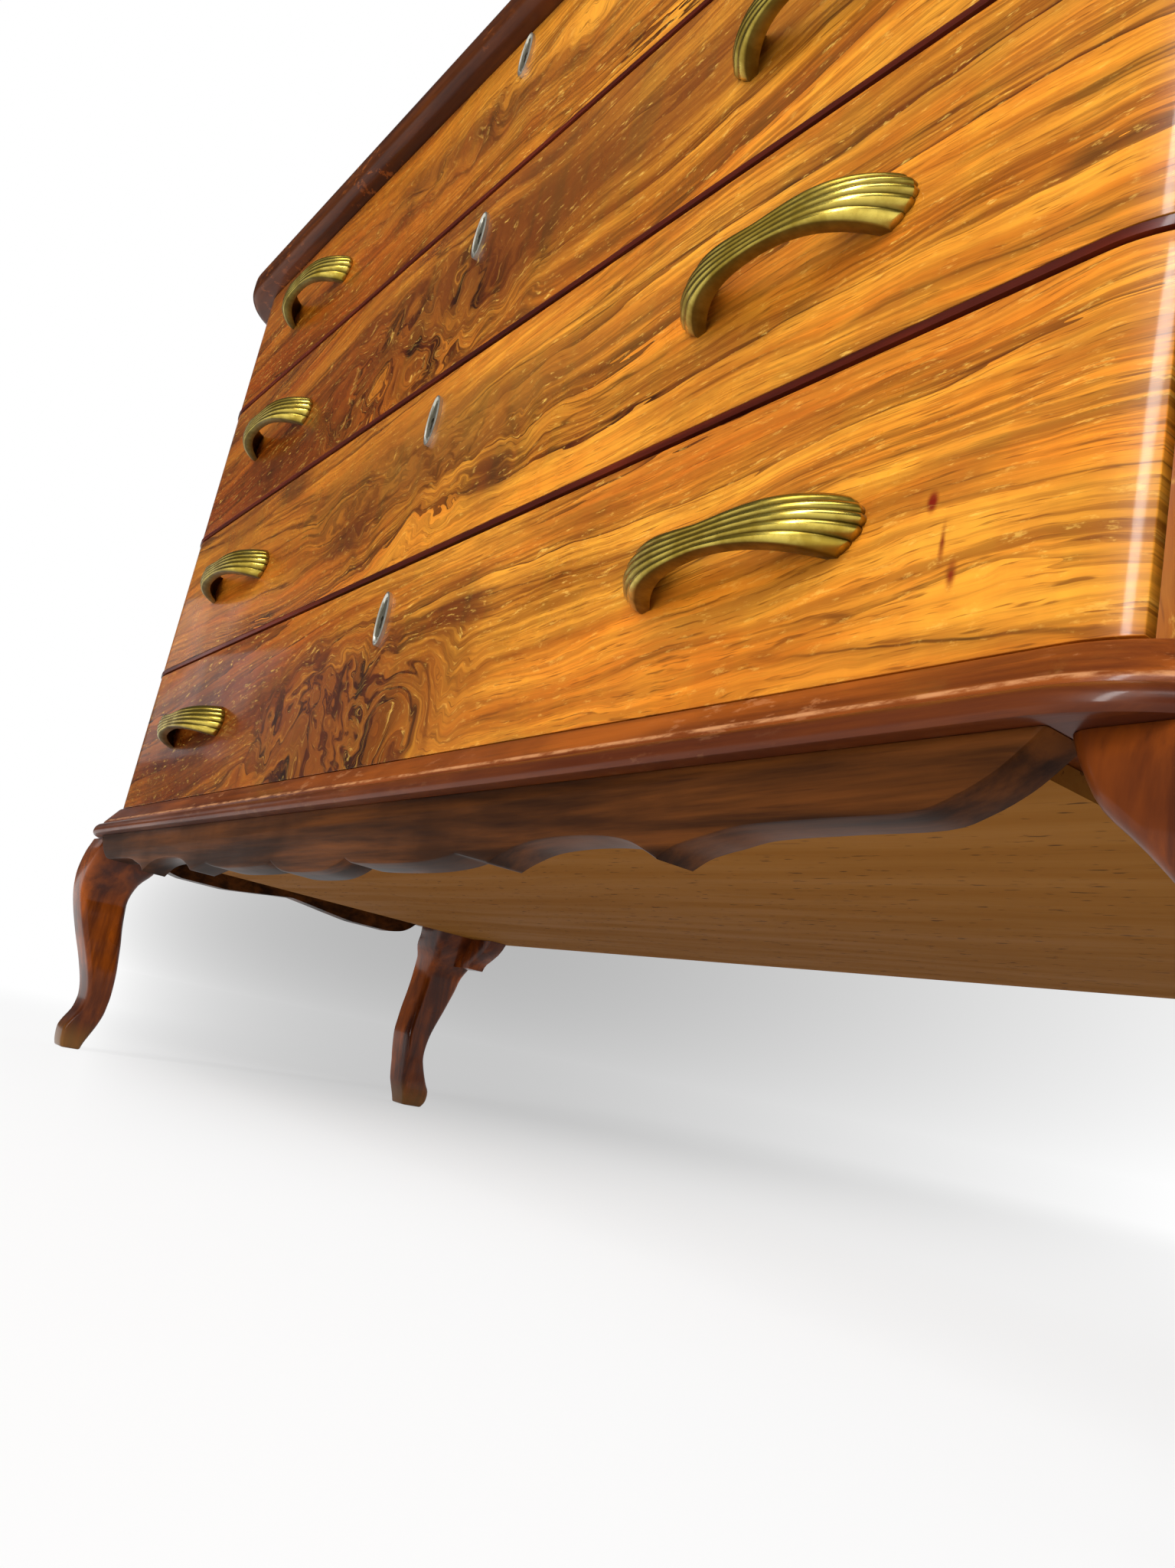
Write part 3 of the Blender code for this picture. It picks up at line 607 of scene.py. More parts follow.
# flames and dark patches of each drawer front: centre, half size, strength and, for a patch, colour
flameDark = tone(70, 40, 18)
oliveBrown = tone(120, 84, 34)
stainRed = tone(116, 24, 6)
drawerLooks = {
    1: {"seed": 1.3, "redness": 0.45, "darkness": 0.60, "goldShare": 0.45, "leftShade": 0.78,
        "flames": [((-0.05, 0.80), (0.32, 0.06), 0.5)],
        "blotches": [((-0.10, 0.815), (0.20, 0.04), 0.6, flameDark),
                     ((0.10, 0.78), (0.30, 0.05), 0.35, flameDark)]},
    2: {"seed": 2.6, "redness": 0.60, "darkness": 0.72, "goldShare": 0.20, "leftShade": 0.75,
        "flames": [((-0.07, 0.61), (0.24, 0.09), 1.2)],
        "blotches": [((-0.31, 0.585), (0.16, 0.04), 0.6, flameDark),
                     ((0.10, 0.66), (0.46, 0.11), 1.0, tone(104, 60, 20))]},
    3: {"seed": 4.9, "redness": 0.20, "darkness": 0.60, "goldShare": 0.75, "leftShade": 0.50,
        "flames": [((-0.03, 0.47), (0.26, 0.08), 0.5)],
        "blotches": [((0.11, 0.447), (0.06, 0.035), 0.9, flameDark),
                     ((0.0, 0.50), (0.30, 0.06), 0.65, oliveBrown),
                     ((-0.11, 0.455), (0.07, 0.025), 0.85, flameDark),
                     ((-0.277, 0.545), (0.05, 0.02), 0.7, flameDark)]},
    4: {"seed": 7.2, "redness": 0.60, "darkness": 0.60, "goldShare": 0.35, "leftShade": 0.70,
        "flames": [((-0.06, 0.29), (0.23, 0.10), 1.4)],
        "blotches": [((0.11, 0.352), (0.07, 0.035), 0.9, flameDark),
                     ((-0.02, 0.30), (0.26, 0.10), 0.65, tone(104, 52, 10)),
                     ((-0.36, 0.31), (0.20, 0.09), 0.75, tone(96, 44, 16)),
                     ((0.4768, 0.3195), (0.0032, 0.006), 1.0, stainRed),
                     ((0.4840, 0.302), (0.0024, 0.012), 0.9, stainRed),
                     ((0.4900, 0.2865), (0.0034, 0.008), 0.9, stainRed)]},
}
drawerWood = {}
for number, look in drawerLooks.items():
    drawerWood[number] = walnut("walnutDrawer%d" % number, "X", **look)
sideWood = walnut("walnutSides", "Z", 9.4, 1.0, darkness=0.85, goldShare=0.0,
                  blotches=[((0.55, 0.0), (2.0, 2.0), 0.75, veneer["shade"])])
topWood = stained("stainedTop", "X", 0.7, tone(60, 27, 10), tone(112, 56, 14), 0.45, tone(178, 96, 36))
beadWood = stained("stainedBeads", "X", 2.1, tone(56, 15, 9), tone(108, 38, 18))
# moulding: pale chips of wear, a painted sheen line along its nose and painted shade below it
mouldingWood = stained("stainedMoulding", "X", 3.4, tone(92, 40, 14), tone(160, 82, 24), 0.8,
                       tone(200, 140, 92), (0.2341, 0.0016))
apronWood = stained("stainedAprons", "X", 5.2, tone(42, 22, 9), tone(104, 58, 22), coat=0.0, shine=0.04)
legWood = stained("stainedLegs", "Z", 6.6, tone(70, 29, 9), tone(176, 86, 14), gloss=0.22, coat=0.2,
                  toeWearAndTopDark=0.6)
pineWood = rawWood("paleBoards", "X", 1.0, tone(160, 107, 42), tone(150, 98, 37), 0.5)
oakWood = rawWood("drawerBoards", "Y", 2.0, tone(170, 124, 74), tone(132, 90, 50))
innerWood = rawWood("drawerBacks", "X", 4.0, tone(166, 122, 74), tone(136, 94, 52))
runnerWood = rawWood("runnerBoards", "Y", 3.0, tone(150, 106, 62), tone(112, 76, 42))
pullBrass = agedMetal("agedBrass", tone(248, 220, 104), tone(194, 164, 62), tone(54, 42, 14), 0.18)
plateMetal = agedMetal("paleMetal", tone(240, 238, 228), tone(206, 204, 190), tone(72, 64, 36), 0.32, 4.0)
lockSteel = agedMetal("lockSteel", tone(130, 124, 114), tone(96, 90, 82), tone(60, 50, 40), 0.45, 8.0)
print("materials made")


# thick top: round front corners, then a rounded edge on three sides
top = {"overhang": 0.020, "thickness": 0.032, "edge": 0.011, "segments": 8, "cornerSegments": 28}
reach = case["half"] + top["overhang"]
topFront = case["front"] - top["overhang"]
topBoard = addBlock("topBoard", (-reach, topFront, case["top"]),
                    (reach, backY, case["top"] + top["thickness"]))
bevelWhere(topBoard, lambda e: upright(e) and middle(e).y < 0, case["corner"], top["cornerSegments"])
bevelWhere(topBoard, lambda e: lying(e) and not all(v.co.y > backY - near for v in e.verts),
           top["edge"], top["segments"])
finishPiece(topBoard, "root", ["top_board"], topWood)
print("top made")


# sides: a deep rounded corner, cut back to the post and hollowed behind it
panels = {
    "blockInner": 0.30, "cornerZone": 0.5, "segments": 32, "hollowInner": 0.50, "hollowLow": 0.20,
    "hollowHigh": 0.90, "past": 0.01,
}
for word, side in (("left", -1), ("right", 1)):
    low, high = sorted((side * panels["blockInner"], side * case["half"]))
    panel = addBlock("side" + word.capitalize(), (low, case["front"], case["baseTop"] + case["gap"]),
                     (high, backY, case["top"] - case["gap"]))
    bevelWhere(panel, lambda e: (upright(e) and middle(e).y < 0
                                 and side * middle(e).x > panels["cornerZone"]),
               case["corner"], panels["segments"])
    sliceOff(panel, (side * case["postFace"], 0, 0), (-side, 0, 0))
    low, high = sorted((side * panels["hollowInner"], side * case["sideInner"]))
    hollow = addBlock("hollow", (low, case["front"] + case["postDepth"], panels["hollowLow"]),
                      (high, backY + panels["past"], panels["hollowHigh"]))
    combine(panel, hollow, "DIFFERENCE")
    finishPiece(panel, "root", ["side_" + word], sideWood)
print("sides made")


# a slab between two heights, whose front follows the rounded corners, cut off at both ends and behind
slab = {"blockDepth": 0.3, "frontZone": 0.1, "segments": 40}


def roundedSlab(name, reachX, endX, front, backDepth, low, high, radius):
    block = addBlock(name, (-reachX, front, low), (reachX, front + slab["blockDepth"], high))
    bevelWhere(block, lambda e: upright(e) and middle(e).y < front + slab["frontZone"],
               radius, slab["segments"])
    sliceOff(block, (endX, 0, 0), (1, 0, 0))
    sliceOff(block, (-endX, 0, 0), (-1, 0, 0))
    sliceOff(block, (0, case["front"] + backDepth, 0), (0, 1, 0))
    return block


# heights of the bead lines, the rails behind them and the drawer fronts between them
levels = {
    "beads": (0.7223, 0.5615, 0.4037), "bead": 0.004, "beadReach": 0.001, "beadDepth": 0.026,
    "beadRound": 0.96, "beadSegments": 5, "groove": 0.0015, "rail": 0.018, "railFront": 0.0223,
    "railDepth": 0.048, "frontEnd": 0.5637, "frontDepth": 0.022, "frontEdge": 0.0009, "edgeSegments": 3,
    "frontZone": 0.010,
}
half = levels["bead"] / 2


def atFront(edge):
    return all(vertex.co.y < case["front"] + levels["frontZone"] for vertex in edge.verts)


railEnd = case["postFace"] - case["gap"]
railY = case["front"] + levels["railFront"]
for number, height in enumerate(levels["beads"], start=1):
    bead = roundedSlab("bead%d" % number, case["half"] + levels["beadReach"], railEnd,
                       case["front"] - levels["beadReach"], levels["beadDepth"],
                       height - half, height + half, case["corner"] + levels["beadReach"])
    bevelWhere(bead, lambda e: lying(e) and atFront(e) and abs(middle(e).x) < case["postFace"] - near,
               half * levels["beadRound"], levels["beadSegments"])
    rail = addBlock("rail", (-railEnd, railY, height - levels["rail"] / 2),
                    (railEnd, railY + levels["railDepth"], height + levels["rail"] / 2))
    combine(bead, rail, "UNION")
    finishPiece(bead, "root", ["divider_rail_%d" % number], beadWood, smooth=50)
print("beads made")

plates = {
    "heights": (0.8481, 0.6796, 0.5201, 0.3626), "halfHeight": 0.0205, "halfWidth": 0.0080,
    "thickness": 0.0026, "rim": 0.0017, "recess": 0.0012, "hole": 0.0021, "slotWidth": 0.0018,
    "slot": 0.0072, "cutY": 0.009, "cutDepth": 0.040, "steps": 56, "insets": (0.35, 0.4, 0.4),
    "rimRise": 0.2, "pin": 0.0012, "pinPlace": 0.72, "field": 0.82, "fieldHeight": 0.9,
}


def keyCutter(height):
    deselectAll()
    cutY, cutDepth = case["front"] + plates["cutY"], plates["cutDepth"]
    bpy.ops.mesh.primitive_cylinder_add(vertices=32, radius=plates["hole"], depth=cutDepth,
                                        location=(0, cutY, height), rotation=(math.pi / 2, 0, 0))
    hole = bpy.context.object
    slot = addBlock("slot", (-plates["slotWidth"] / 2, cutY - cutDepth / 2, height - plates["slot"]),
                    (plates["slotWidth"] / 2, cutY + cutDepth / 2, height))
    combine(hole, slot, "UNION")
    return hole


frontEdges = [case["top"], *levels["beads"], case["baseTop"]]
for number in range(1, 5):
    upper = frontEdges[number - 1] - levels["groove"] - (half if number > 1 else 0)
    lower = frontEdges[number] + levels["groove"] + (half if number < 4 else 0)
    panel = roundedSlab("drawerFront%d" % number, case["half"], levels["frontEnd"], case["front"],
                        levels["frontDepth"], lower, upper, case["corner"])
    bevelWhere(panel, lambda e: atFront(e) and (lying(e) or abs(middle(e).x) > levels["frontEnd"] - near),
               levels["frontEdge"], levels["edgeSegments"])
    combine(panel, keyCutter(plates["heights"][number - 1]), "DIFFERENCE")
    finishPiece(panel, "drawer_%d" % number, ["drawer_%d_front" % number], drawerWood[number])
print("drawer fronts made")


# base moulding: one profile drawn along the side, spun round the corners and along the front
moulding = {
    "height": 0.0315, "reach": 0.0222, "inset": 0.045, "bar": 0.022, "barLap": 0.004, "steps": 24,
    "profile": (
        (0.04, 0.0), (0.15, 0.03), (0.20, 0.08), (0.60, 0.48), (0.655, 0.54), (0.66, 0.60), (0.74, 0.625),
        (0.86, 0.67), (0.95, 0.74), (0.99, 0.82), (1.0, 0.88), (0.985, 0.94), (0.94, 0.985), (0.88, 1.0)),
}
outline = [(-moulding["inset"], -case["gap"])]
outline += [(across * moulding["reach"], min(-case["gap"], -drop * moulding["height"]))
            for across, drop in moulding["profile"]]
outline += [(-moulding["inset"], -moulding["height"])]
mouldingPiece = addFace("baseMoulding", [(case["half"] + across, backY, case["baseTop"] + height)
                                         for across, height in outline])
sideRun = case["depth"] - case["corner"]
cornerY = case["front"] + case["corner"]


def turnCorner(centreX):
    bpy.ops.mesh.spin(steps=moulding["steps"], angle=math.pi / 2,
                      center=(centreX, cornerY, 0), axis=(0, 0, 1))


pushOut((0, -sideRun, 0))
turnCorner(cornerX)
pushOut((-2 * cornerX, 0, 0))
turnCorner(-cornerX)
pushOut((0, sideRun, 0))
closeUp(mouldingPiece)
barX = case["half"] - moulding["inset"] + moulding["barLap"]
mouldingLow = case["baseTop"] - moulding["height"]
bar = addBlock("bar", (-barX, backY - moulding["bar"], mouldingLow + case["gap"]),
               (barX, backY, case["baseTop"] - case["gap"]))
combine(mouldingPiece, bar, "UNION")
finishPiece(mouldingPiece, "root", ["base_moulding"], mouldingWood, smooth=30)
print("moulding made")


# aprons: half of each lower edge as shares of its length and drop, corners at the cusps
apron = {
    "thickness": 0.022, "reach": 0.013, "roll": 0.008, "arris": 0.0016, "frontEnd": 0.067,
    "frontDrop": 0.0432, "sideFrontEnd": 0.0606, "sideBackEnd": 0.0756, "sideDrop": 0.0177,
    "frontCusps": (3, 9, 11, 19), "sideCusps": (6, 8), "between": 4, "close": 0.0001, "arrisSegments": 2,
    "rollSegments": 8,
    "front": (
        (0.0, 1.0), (0.055, 0.98), (0.09, 0.90), (0.113, 0.80), (0.132, 0.86), (0.17, 0.885),
        (0.232, 0.895), (0.29, 0.885), (0.337, 0.84), (0.365, 0.785), (0.398, 0.85), (0.429, 0.91),
        (0.447, 0.82), (0.478, 0.71), (0.511, 0.66), (0.557, 0.64), (0.602, 0.66), (0.635, 0.72),
        (0.66, 0.83), (0.675, 0.91), (0.693, 0.80), (0.712, 0.74), (0.73, 0.70), (0.766, 0.625),
        (0.839, 0.605), (0.912, 0.595), (0.943, 0.49), (0.969, 0.325), (0.987, 0.15), (1.0, 0.0)),
    "side": (
        (0.0, 0.45), (0.10, 0.56), (0.199, 0.678), (0.28, 0.78), (0.355, 0.864), (0.42, 0.94), (0.485, 1.0),
        (0.63, 1.0), (0.786, 1.0), (0.845, 0.90), (0.898, 0.757), (0.945, 0.50), (0.98, 0.20), (1.0, 0.0)),
}
apronTop = mouldingLow - case["gap"]
middleY = case["front"] + case["depth"] / 2


def edgeLine(shares, cusps, length, drop):
    line = [(across * length, apronTop - depth * drop)
            for across, depth in smoothed(shares, apron["between"], cusps)]
    return [(-across, height) for across, height in reversed(line[1:])] + line


# a fine arris along the scalloped edge and a wide roll along the top, both on the outer face
def rollEdges(thing, outward):
    nose = Vector(outward)
    face = max(vertex.co.dot(nose) for vertex in thing.data.vertices)

    def onFace(edge):
        return all(vertex.co.dot(nose) > face - apron["close"] for vertex in edge.verts)

    def below(vertex):
        return vertex.co.z < apronTop - apron["close"]

    bevelWhere(thing, lambda e: onFace(e) and (all(below(v) for v in e.verts) or abs(way(e).z) > near),
               apron["arris"], apron["arrisSegments"])
    bevelWhere(thing, lambda e: onFace(e) and all(v.co.z > apronTop - apron["close"] for v in e.verts),
               apron["roll"], apron["rollSegments"])


frontHalf = case["half"] - apron["frontEnd"]
frontLine = edgeLine(apron["front"], apron["frontCusps"], frontHalf, apron["frontDrop"])
apronFront = addFace("apronFront", [(x, case["front"] - apron["reach"], z) for x, z in frontLine])
pushOut((0, apron["thickness"], 0))
closeUp(apronFront)
rollEdges(apronFront, (0, -1, 0))
finishPiece(apronFront, "root", ["apron_front"], apronWood, smooth=32)
sideHalf = (case["depth"] - apron["sideFrontEnd"] - apron["sideBackEnd"]) / 2
sideMiddle = case["front"] + apron["sideFrontEnd"] + sideHalf
sideLine = edgeLine(apron["side"], apron["sideCusps"], sideHalf, apron["sideDrop"])
for word, side in (("left", -1), ("right", 1)):
    outer = side * (case["half"] + apron["reach"])
    apronSide = addFace("apron" + word.capitalize(), [(outer, sideMiddle + y, z) for y, z in sideLine])
    pushOut((-side * apron["thickness"], 0, 0))
    closeUp(apronSide)
    rollEdges(apronSide, (side, 0, 0))
    finishPiece(apronSide, "root", ["apron_" + word], apronWood, smooth=32)
print("aprons made")


# legs: share of height, then of reach past the corner centre and of width, sideways and in depth
legs = {
    "height": 0.2187, "reach": 0.085, "width": 0.052, "corner": 0.15, "cornerSteps": 5, "between": 3,
    "footRound": 0.0015, "backInset": 0.015, "backSame": 8, "bracketLow": 0.1747, "bracketTop": 0.2100,
    "bracketBack": 0.010, "bracketThickness": 0.022, "bracketEdge": 0.0012,
    "bracket": (
        (0.5870, 0.2185), (0.5305, 0.2185), (0.5303, 0.2104), (0.4885, 0.2104), (0.4935, 0.2035),
        (0.5006, 0.1967), (0.5115, 0.1897), (0.5227, 0.1836), (0.5268, 0.1795), (0.5293, 0.1747)),
    "backFoot": (
        (0.0, 0.99, 0.60, 0.74, 0.50), (0.035, 1.01, 0.68, 0.79, 0.62), (0.089, 1.03, 0.74, 0.79, 0.70),
        (0.127, 1.05, 0.76, 0.74, 0.66), (0.18, 1.06, 0.79, 0.67, 0.58), (0.228, 1.07, 0.81, 0.62, 0.52),
        (0.266, 1.075, 0.83, 0.59, 0.50), (0.319, 1.09, 0.85, 0.59, 0.525)),
    "stations": (
        (0.0, 1.035, 0.596, 0.655, 0.385), (0.035, 1.053, 0.625, 0.678, 0.467),
        (0.089, 1.082, 0.683, 0.681, 0.571), (0.127, 1.106, 0.74, 0.642, 0.571),
        (0.18, 1.106, 0.808, 0.57, 0.504), (0.228, 1.1, 0.837, 0.545, 0.477),
        (0.266, 1.094, 0.846, 0.545, 0.485), (0.319, 1.1, 0.856, 0.569, 0.523),
        (0.389, 1.112, 0.865, 0.627, 0.604), (0.458, 1.124, 0.856, 0.693, 0.683),
        (0.528, 1.135, 0.856, 0.768, 0.771), (0.598, 1.141, 0.846, 0.838, 0.837),
        (0.67, 1.141, 0.837, 0.904, 0.91), (0.745, 1.135, 0.837, 0.957, 0.981),
        (0.823, 1.082, 1.029, 0.995, 1.092), (0.884, 1.0, 1.183, 1.005, 1.26),
        (0.94, 0.929, 1.221, 0.995, 1.283), (0.972, 0.9, 1.25, 0.975, 1.279),
        (1.0, 0.885, 1.283, 0.955, 1.275)),
}


def legSection(station):
    height, reachX, widthX, reachY, widthY = station
    size = Vector((widthX, widthY, 0)) * legs["width"]
    centre = Vector((cornerX + reachX * legs["reach"] - size.x / 2,
                     cornerY - reachY * legs["reach"] + size.y / 2, height * legs["height"]))
    return centre, size


def makeLeg(name, stations):
    sections = [legSection(station) for station in smoothed(stations, legs["between"])]
    centre, size = sections[0]
    corners = []
    for quarter, (wayX, wayY) in enumerate(((1, 1), (-1, 1), (-1, -1), (1, -1))):
        for step in range(legs["cornerSteps"] + 1):
            angle = math.pi / 2 * (quarter + step / legs["cornerSteps"])
            across = wayX * (0.5 - legs["corner"]) + legs["corner"] * math.cos(angle)
            deep = wayY * (0.5 - legs["corner"]) + legs["corner"] * math.sin(angle)
            corners.append(centre + Vector((across * size.x, deep * size.y, 0)))
    leg = addFace(name, corners)
    for nextCentre, nextSize in sections[1:]:
        pushOut(nextCentre - centre)
        bpy.ops.transform.resize(value=(nextSize.x / size.x, nextSize.y / size.y, 1),
                                 center_override=nextCentre)
        centre, size = nextCentre, nextSize
    closeUp(leg)
    bevelWhere(leg, lambda e: all(v.co.z < apron["close"] for v in e.verts), legs["footRound"], 3)
    return leg


leg = makeLeg("legFrontRight", legs["stations"])

# the back legs stand a little further in, on rounder feet, each with a bracket under the bottom board
clubFoot = makeLeg("clubFoot", legs["backFoot"] + legs["stations"][legs["backSame"]:])
backLeg = mirrorCopy(clubFoot, "legBackRight", (1, -1, 1), middleY)
bpy.data.objects.remove(clubFoot)
pickOnly(backLeg)
backLeg.location = (-legs["backInset"], -legs["backInset"], 0)
bpy.ops.object.transform_apply()
bracketY = backY - legs["bracketBack"]
bracketCorners = legs["bracket"] + ((legs["bracket"][0][0], legs["bracketLow"]),)
bracket = addFace("bracket", [(x, bracketY, z) for x, z in bracketCorners])
pushOut((0, -legs["bracketThickness"], 0))
closeUp(bracket)
bevelWhere(bracket, lambda e: abs(way(e).y) < 0.1 and middle(e).z < legs["bracketTop"],
           legs["bracketEdge"], 2)
combine(backLeg, bracket, "UNION")
legPieces = {"front_right": leg, "front_left": mirrorCopy(leg, "legFrontLeft", (-1, 1, 1), middleY),
             "back_right": backLeg, "back_left": mirrorCopy(backLeg, "legBackLeft", (-1, 1, 1), middleY)}
for word, piece in legPieces.items():
    finishPiece(piece, "root", ["leg_" + word], legWood, smooth=40)
print("legs made")


# bow pulls: a reeded front sheet and a hollow back sheet, bridged round the rim
pulls = {
    "x": 0.3689, "heights": (0.7965, 0.6378, 0.4764, 0.3211), "halfLength": 0.0758, "cornerLength": 0.0632,
    "reach": 0.0273, "rim": 0.0026, "grip": 0.0135, "fan": 0.0279, "hollow": 0.0195, "reed": 0.0011,
    "crown": 0.0004, "reeds": 5, "stations": 56, "across": 40, "spread": 1.4, "bow": (3.4, 0.9),
    "swell": 0.6, "fanSwell": 0.8, "scallop": 0.022, "foot": 0.9, "grime": 0.6, "backGrime": 0.8,
    "sharp": 0.9, "edge": 0.0003,
}


def pullSheet(name, front):
    deselectAll()
    bpy.ops.mesh.primitive_grid_add(x_subdivisions=pulls["stations"], y_subdivisions=pulls["across"], size=2)
    sheet = bpy.context.object
    sheet.name = name
    groove = sheet.data.attributes.new("hollow", "FLOAT", "POINT")
    for vertex in sheet.data.vertices:
        along, over = vertex.co.x, vertex.co.y
        share = math.sin(math.pi / 2 * along)
        bow = abs(share)
        width = pulls["grip"] + (pulls["fan"] - pulls["grip"]) * bow ** pulls["spread"]
        rise = (1 - bow ** pulls["bow"][0]) ** pulls["bow"][1]
        swell = abs(math.sin(math.pi * pulls["reeds"] * (over + 1) / 2)) ** pulls["swell"]
        level = pulls["rim"] + (pulls["reach"] - pulls["rim"]) * rise
        level -= pulls["crown"] * over ** 2 * (1 - bow ** 6)
        level -= pulls["reed"] * (1 - swell * (1 + pulls["fanSwell"] * bow ** 4))
        level = max(level, pulls["rim"] / 2)
        tip = pulls["halfLength"] - (pulls["halfLength"] - pulls["cornerLength"]) * over ** 2
        tip *= 1 - pulls["scallop"] * bow ** 8 * (1 - swell) * (abs(over) < 0.99)
        if not front:
            depth = pulls["hollow"] * max(0, 1 - (bow / pulls["foot"]) ** 3)
            level = min(depth, level - pulls["rim"] / 2)
        groove.data[vertex.index].value = (1 - swell) ** pulls["grime"] if front else pulls["backGrime"]
        vertex.co = (share * tip, -level, over * width / 2)
    return sheet


pull = pullSheet("pull", True)
backSheet = pullSheet("backSheet", False)
deselectAll()
backSheet.select_set(True)
pull.select_set(True)
bpy.context.view_layer.objects.active = pull
bpy.ops.object.join()
selectEdges(pull, lambda e: e.is_boundary)
bpy.ops.mesh.bridge_edge_loops()
closeUp(pull)
bevelWhere(pull, lambda e: e.is_manifold and e.calc_face_angle() > pulls["sharp"], pulls["edge"], 2)
for number, height in enumerate(pulls["heights"], start=1):
    for word, side in (("left", -1), ("right", 1)):
        pickOnly(pull)
        bpy.ops.object.duplicate()
        copy = bpy.context.object
        copy.name = "pull%s%d" % (word.capitalize(), number)
        copy.location = (side * pulls["x"], case["front"], height)
        finishPiece(copy, "drawer_%d" % number, ["drawer_%d_pull_%s" % (number, word)],
                    pullBrass, smooth=40)
bpy.data.objects.remove(pull)
print("pulls made")


# key plates: slender ovals with a raised rim, a sunk dirty field and two pin heads
oval = []
for step in range(plates["steps"]):
    angle = 2 * math.pi * step / plates["steps"]
    oval.append((plates["halfWidth"] * math.cos(angle), plates["halfHeight"] * math.sin(angle)))
plateFace = case["front"] - plates["thickness"]
for number, height in enumerate(plates["heights"], start=1):
    plate = addFace("keyPlate%d" % number, [(x, case["front"], height + z) for x, z in oval])
    pushOut((0, -plates["thickness"], 0))
    depths = (0, plates["rim"] * plates["rimRise"], -plates["recess"])
    for share, depth in zip(plates["insets"], depths):
        bpy.ops.mesh.inset(thickness=plates["rim"] * share, depth=depth)
    closeUp(plate)
    for up in (-1, 1):
        deselectAll()
        pinHeight = height + up * plates["halfHeight"] * plates["pinPlace"]
        bpy.ops.mesh.primitive_uv_sphere_add(segments=20, ring_count=12, radius=plates["pin"],
                                             location=(0, plateFace + plates["recess"], pinHeight))
        combine(plate, bpy.context.object, "UNION")
    combine(plate, keyCutter(height), "DIFFERENCE")
    sunk = plate.data.attributes.new("hollow", "FLOAT", "POINT")
    for vertex in plate.data.vertices:
        off = Vector((vertex.co.x / plates["halfWidth"], (vertex.co.z - height) / plates["halfHeight"]))
        inField = off.length < plates["field"] and abs(off.y) < plates["fieldHeight"]
        sunk.data[vertex.index].value = 1.0 if inField else 0.0
    finishPiece(plate, "drawer_%d" % number, ["drawer_%d_escutcheon" % number], plateMetal, smooth=30)
print("key plates made")

# looks of the pieces that keep their own mesh
for name, thing in nodes.items():
    look = None
    if name in ("back_panel", "bottom_board") or name.endswith("_bottom"):
        look = pineWood
    elif name.startswith("runner"):
        look = runnerWood
    elif name.startswith("drawer") and "_side_" in name:
        look = oakWood
    elif name.startswith("drawer") and name.endswith("_back"):
        look = innerWood
    elif name.endswith("_lock"):
        look = lockSteel
    if look:
        thing.data.materials.clear()
        thing.data.materials.append(look)
print("hidden pieces coloured")

# painted shadow: soft grey on the white background, strongest behind the chest, in slopes of the line of
# sight
backdrop = {
    "across": 1.66, "right": 1.31, "left": 2.33, "up": 0.167, "high": 0.35, "grey": 0.29, "gamma": 2.2,
    "size": 80, "near": 0.05, "patchStart": (0.55, 2.0), "floorTone": tone(238, 238, 238),
    "shadow": (1.0, 2.4, 0.17, 0.0), "behind": (0.02, 0.12), "dim": (0.16, 0.02, 0.0, 0.94),
    "lighting": 0.54,
}


def paintedShadowPatch(across, up, strength):
    off = plus(across, backdrop["across"])
    right = maths("DIVIDE", maths("MAXIMUM", off, 0.0), backdrop["right"])
    left = maths("DIVIDE", maths("MINIMUM", off, 0.0), backdrop["left"])
    high = maths("DIVIDE", minus(up, backdrop["up"]), backdrop["high"])
    reach = vectorMaths("LENGTH", joined(plus(right, left), high, 0.0))
    grey = maths("SUBTRACT", 1.0, times(reach, reach), clamp=True)
    grey = times(grey, backdrop["grey"], strength)
    return maths("POWER", minus(1.0, grey), backdrop["gamma"])


def seenRays():
    rays = addNode("LightPath")
    seen = maths("MAXIMUM", rays.outputs["Is Camera Ray"], rays.outputs["Is Transmission Ray"])
    return maths("MAXIMUM", seen, rays.outputs["Is Glossy Ray"])


# white floor that keeps the real shadow under the chest; where seen, it glows white with the painted grey
# shadow in it
deselectAll()
bpy.ops.mesh.primitive_plane_add(size=backdrop["size"], location=(0, 0, 0))
floor = bpy.context.object
floor.name = "floor"
floorMaterial, floorShader = newMaterial("whiteFloor")
floorShader.inputs["Base Color"].default_value = backdrop["floorTone"]
floorShader.inputs["Roughness"].default_value = 0.9
floorShader.inputs["Specular IOR Level"].default_value = 0.1
floorSpot = mapped(place(), shift=(-view["place"][0], -view["place"][1], 0.0))
floorX, floorY = axis(floorSpot, "X"), axis(floorSpot, "Y")
slope = maths("DIVIDE", floorX, maths("MAXIMUM", floorY, backdrop["near"]))
distance = vectorMaths("LENGTH", floorSpot)
patch = paintedShadowPatch(slope, 0.0, between(distance, *backdrop["patchStart"]))
glow = addNode("Emission")
feed(glow.inputs["Color"], joined(patch, patch, patch))
fromMiddle = vectorMaths("LENGTH", place())
keepShadow = between(fromMiddle, *backdrop["shadow"])
blend = addNode("MixShader")
glowShare = times(seenRays(), minus(1.0, keepShadow))
feed(blend.inputs[0], glowShare)
link(floorShader.outputs[0], blend.inputs[1])
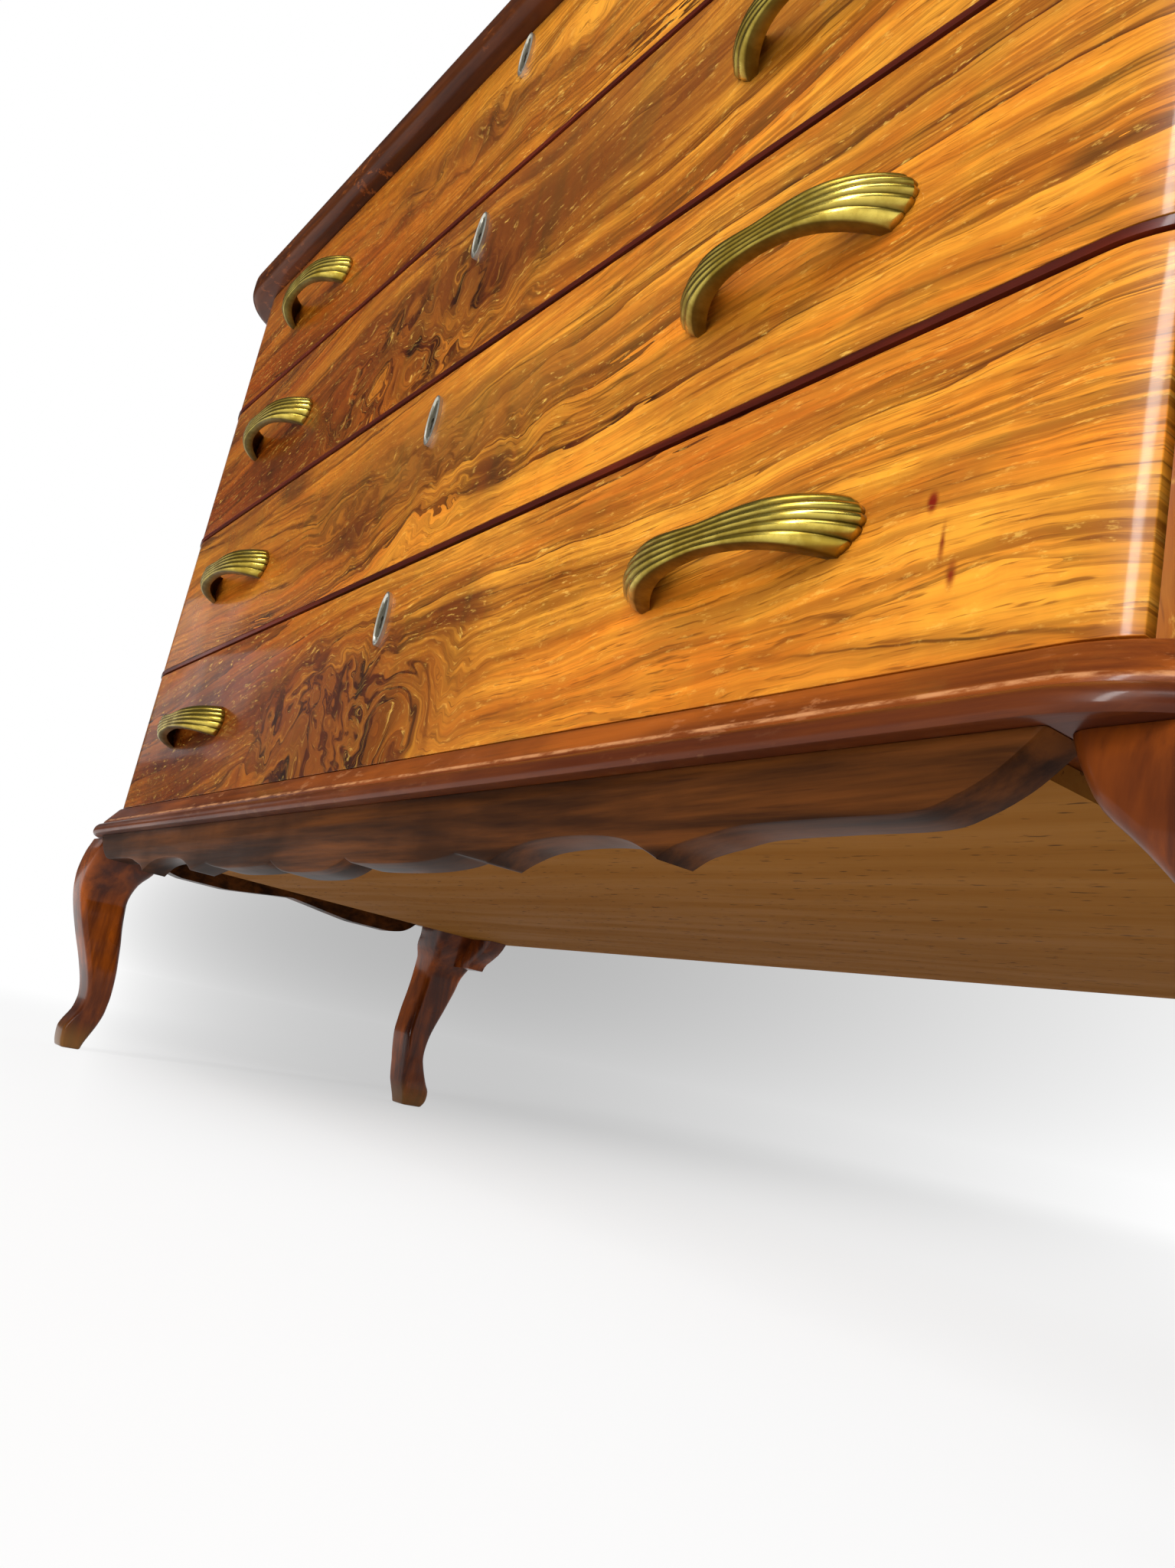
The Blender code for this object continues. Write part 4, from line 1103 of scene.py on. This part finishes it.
link(glow.outputs[0], blend.inputs[2])
link(blend.outputs[0], floorMaterial.node_tree.nodes["Material Output"].inputs[0])
floor.data.materials.append(floorMaterial)

# white world, seen dim only where the chest mirrors what is in front of it
world = bpy.data.worlds.new("whiteWorld")
bpy.context.scene.world = world
startTree(world)
line = addNode("TexCoord").outputs["Generated"]
lineX, lineY, lineZ = (axis(line, name) for name in "XYZ")
deep = maths("MAXIMUM", lineY, backdrop["near"])
patch = paintedShadowPatch(maths("DIVIDE", lineX, deep), maths("DIVIDE", lineZ, deep), 1.0)
# painted shadow: the grey patch behind the chest, mixed into the white that is seen
white = mixed(between(lineY, *backdrop["behind"]), (1, 1, 1, 1), joined(patch, patch, patch))
glossy = addNode("LightPath").outputs["Is Glossy Ray"]
dimmed = times(glossy, between(lineY, *backdrop["dim"]))
shown = minus(1.0, dimmed)
seen = seenRays()
unseen = minus(1.0, seen)
background = addNode("Background")
feed(background.inputs["Color"], mixed(seen, (1, 1, 1, 1), white))
feed(background.inputs["Strength"], plus(times(seen, shown), times(unseen, backdrop["lighting"])))
worldOutput = addNode("OutputWorld")
link(background.outputs[0], worldOutput.inputs[0])


def softLamp(name, spot, aim, size, power):
    lampData = bpy.data.lights.new(name, "AREA")
    lampData.shape = "RECTANGLE"
    lampData.size, lampData.size_y = size
    lampData.energy = power
    lamp = bpy.data.objects.new(name, lampData)
    lamp.location = spot
    lamp.rotation_euler = (Vector(aim) - Vector(spot)).to_track_quat("-Z", "Y").to_euler()
    bpy.context.scene.collection.objects.link(lamp)


# two soft lamps from the right, a weak sheen on the left and a tall strip mirrored in the right corner
softLamp("keyLamp", (1.6, -2.6, 2.4), (0, 0, 0.45), (1.6, 1.2), 10)
softLamp("upperLamp", (1.3, -1.9, 2.6), (0.1, -0.2, 0.45), (0.7, 0.7), 8)
softLamp("sheenLamp", (-3.0, -0.9, 0.95), (-0.5, -0.2, 0.4), (0.4, 0.6), 0.6)
softLamp("stripeLamp", (0.68, -2.6, 1.6), (0.60, -0.18, 0.45), (0.24, 2.6), 62)
print("floor, world and lamps made")
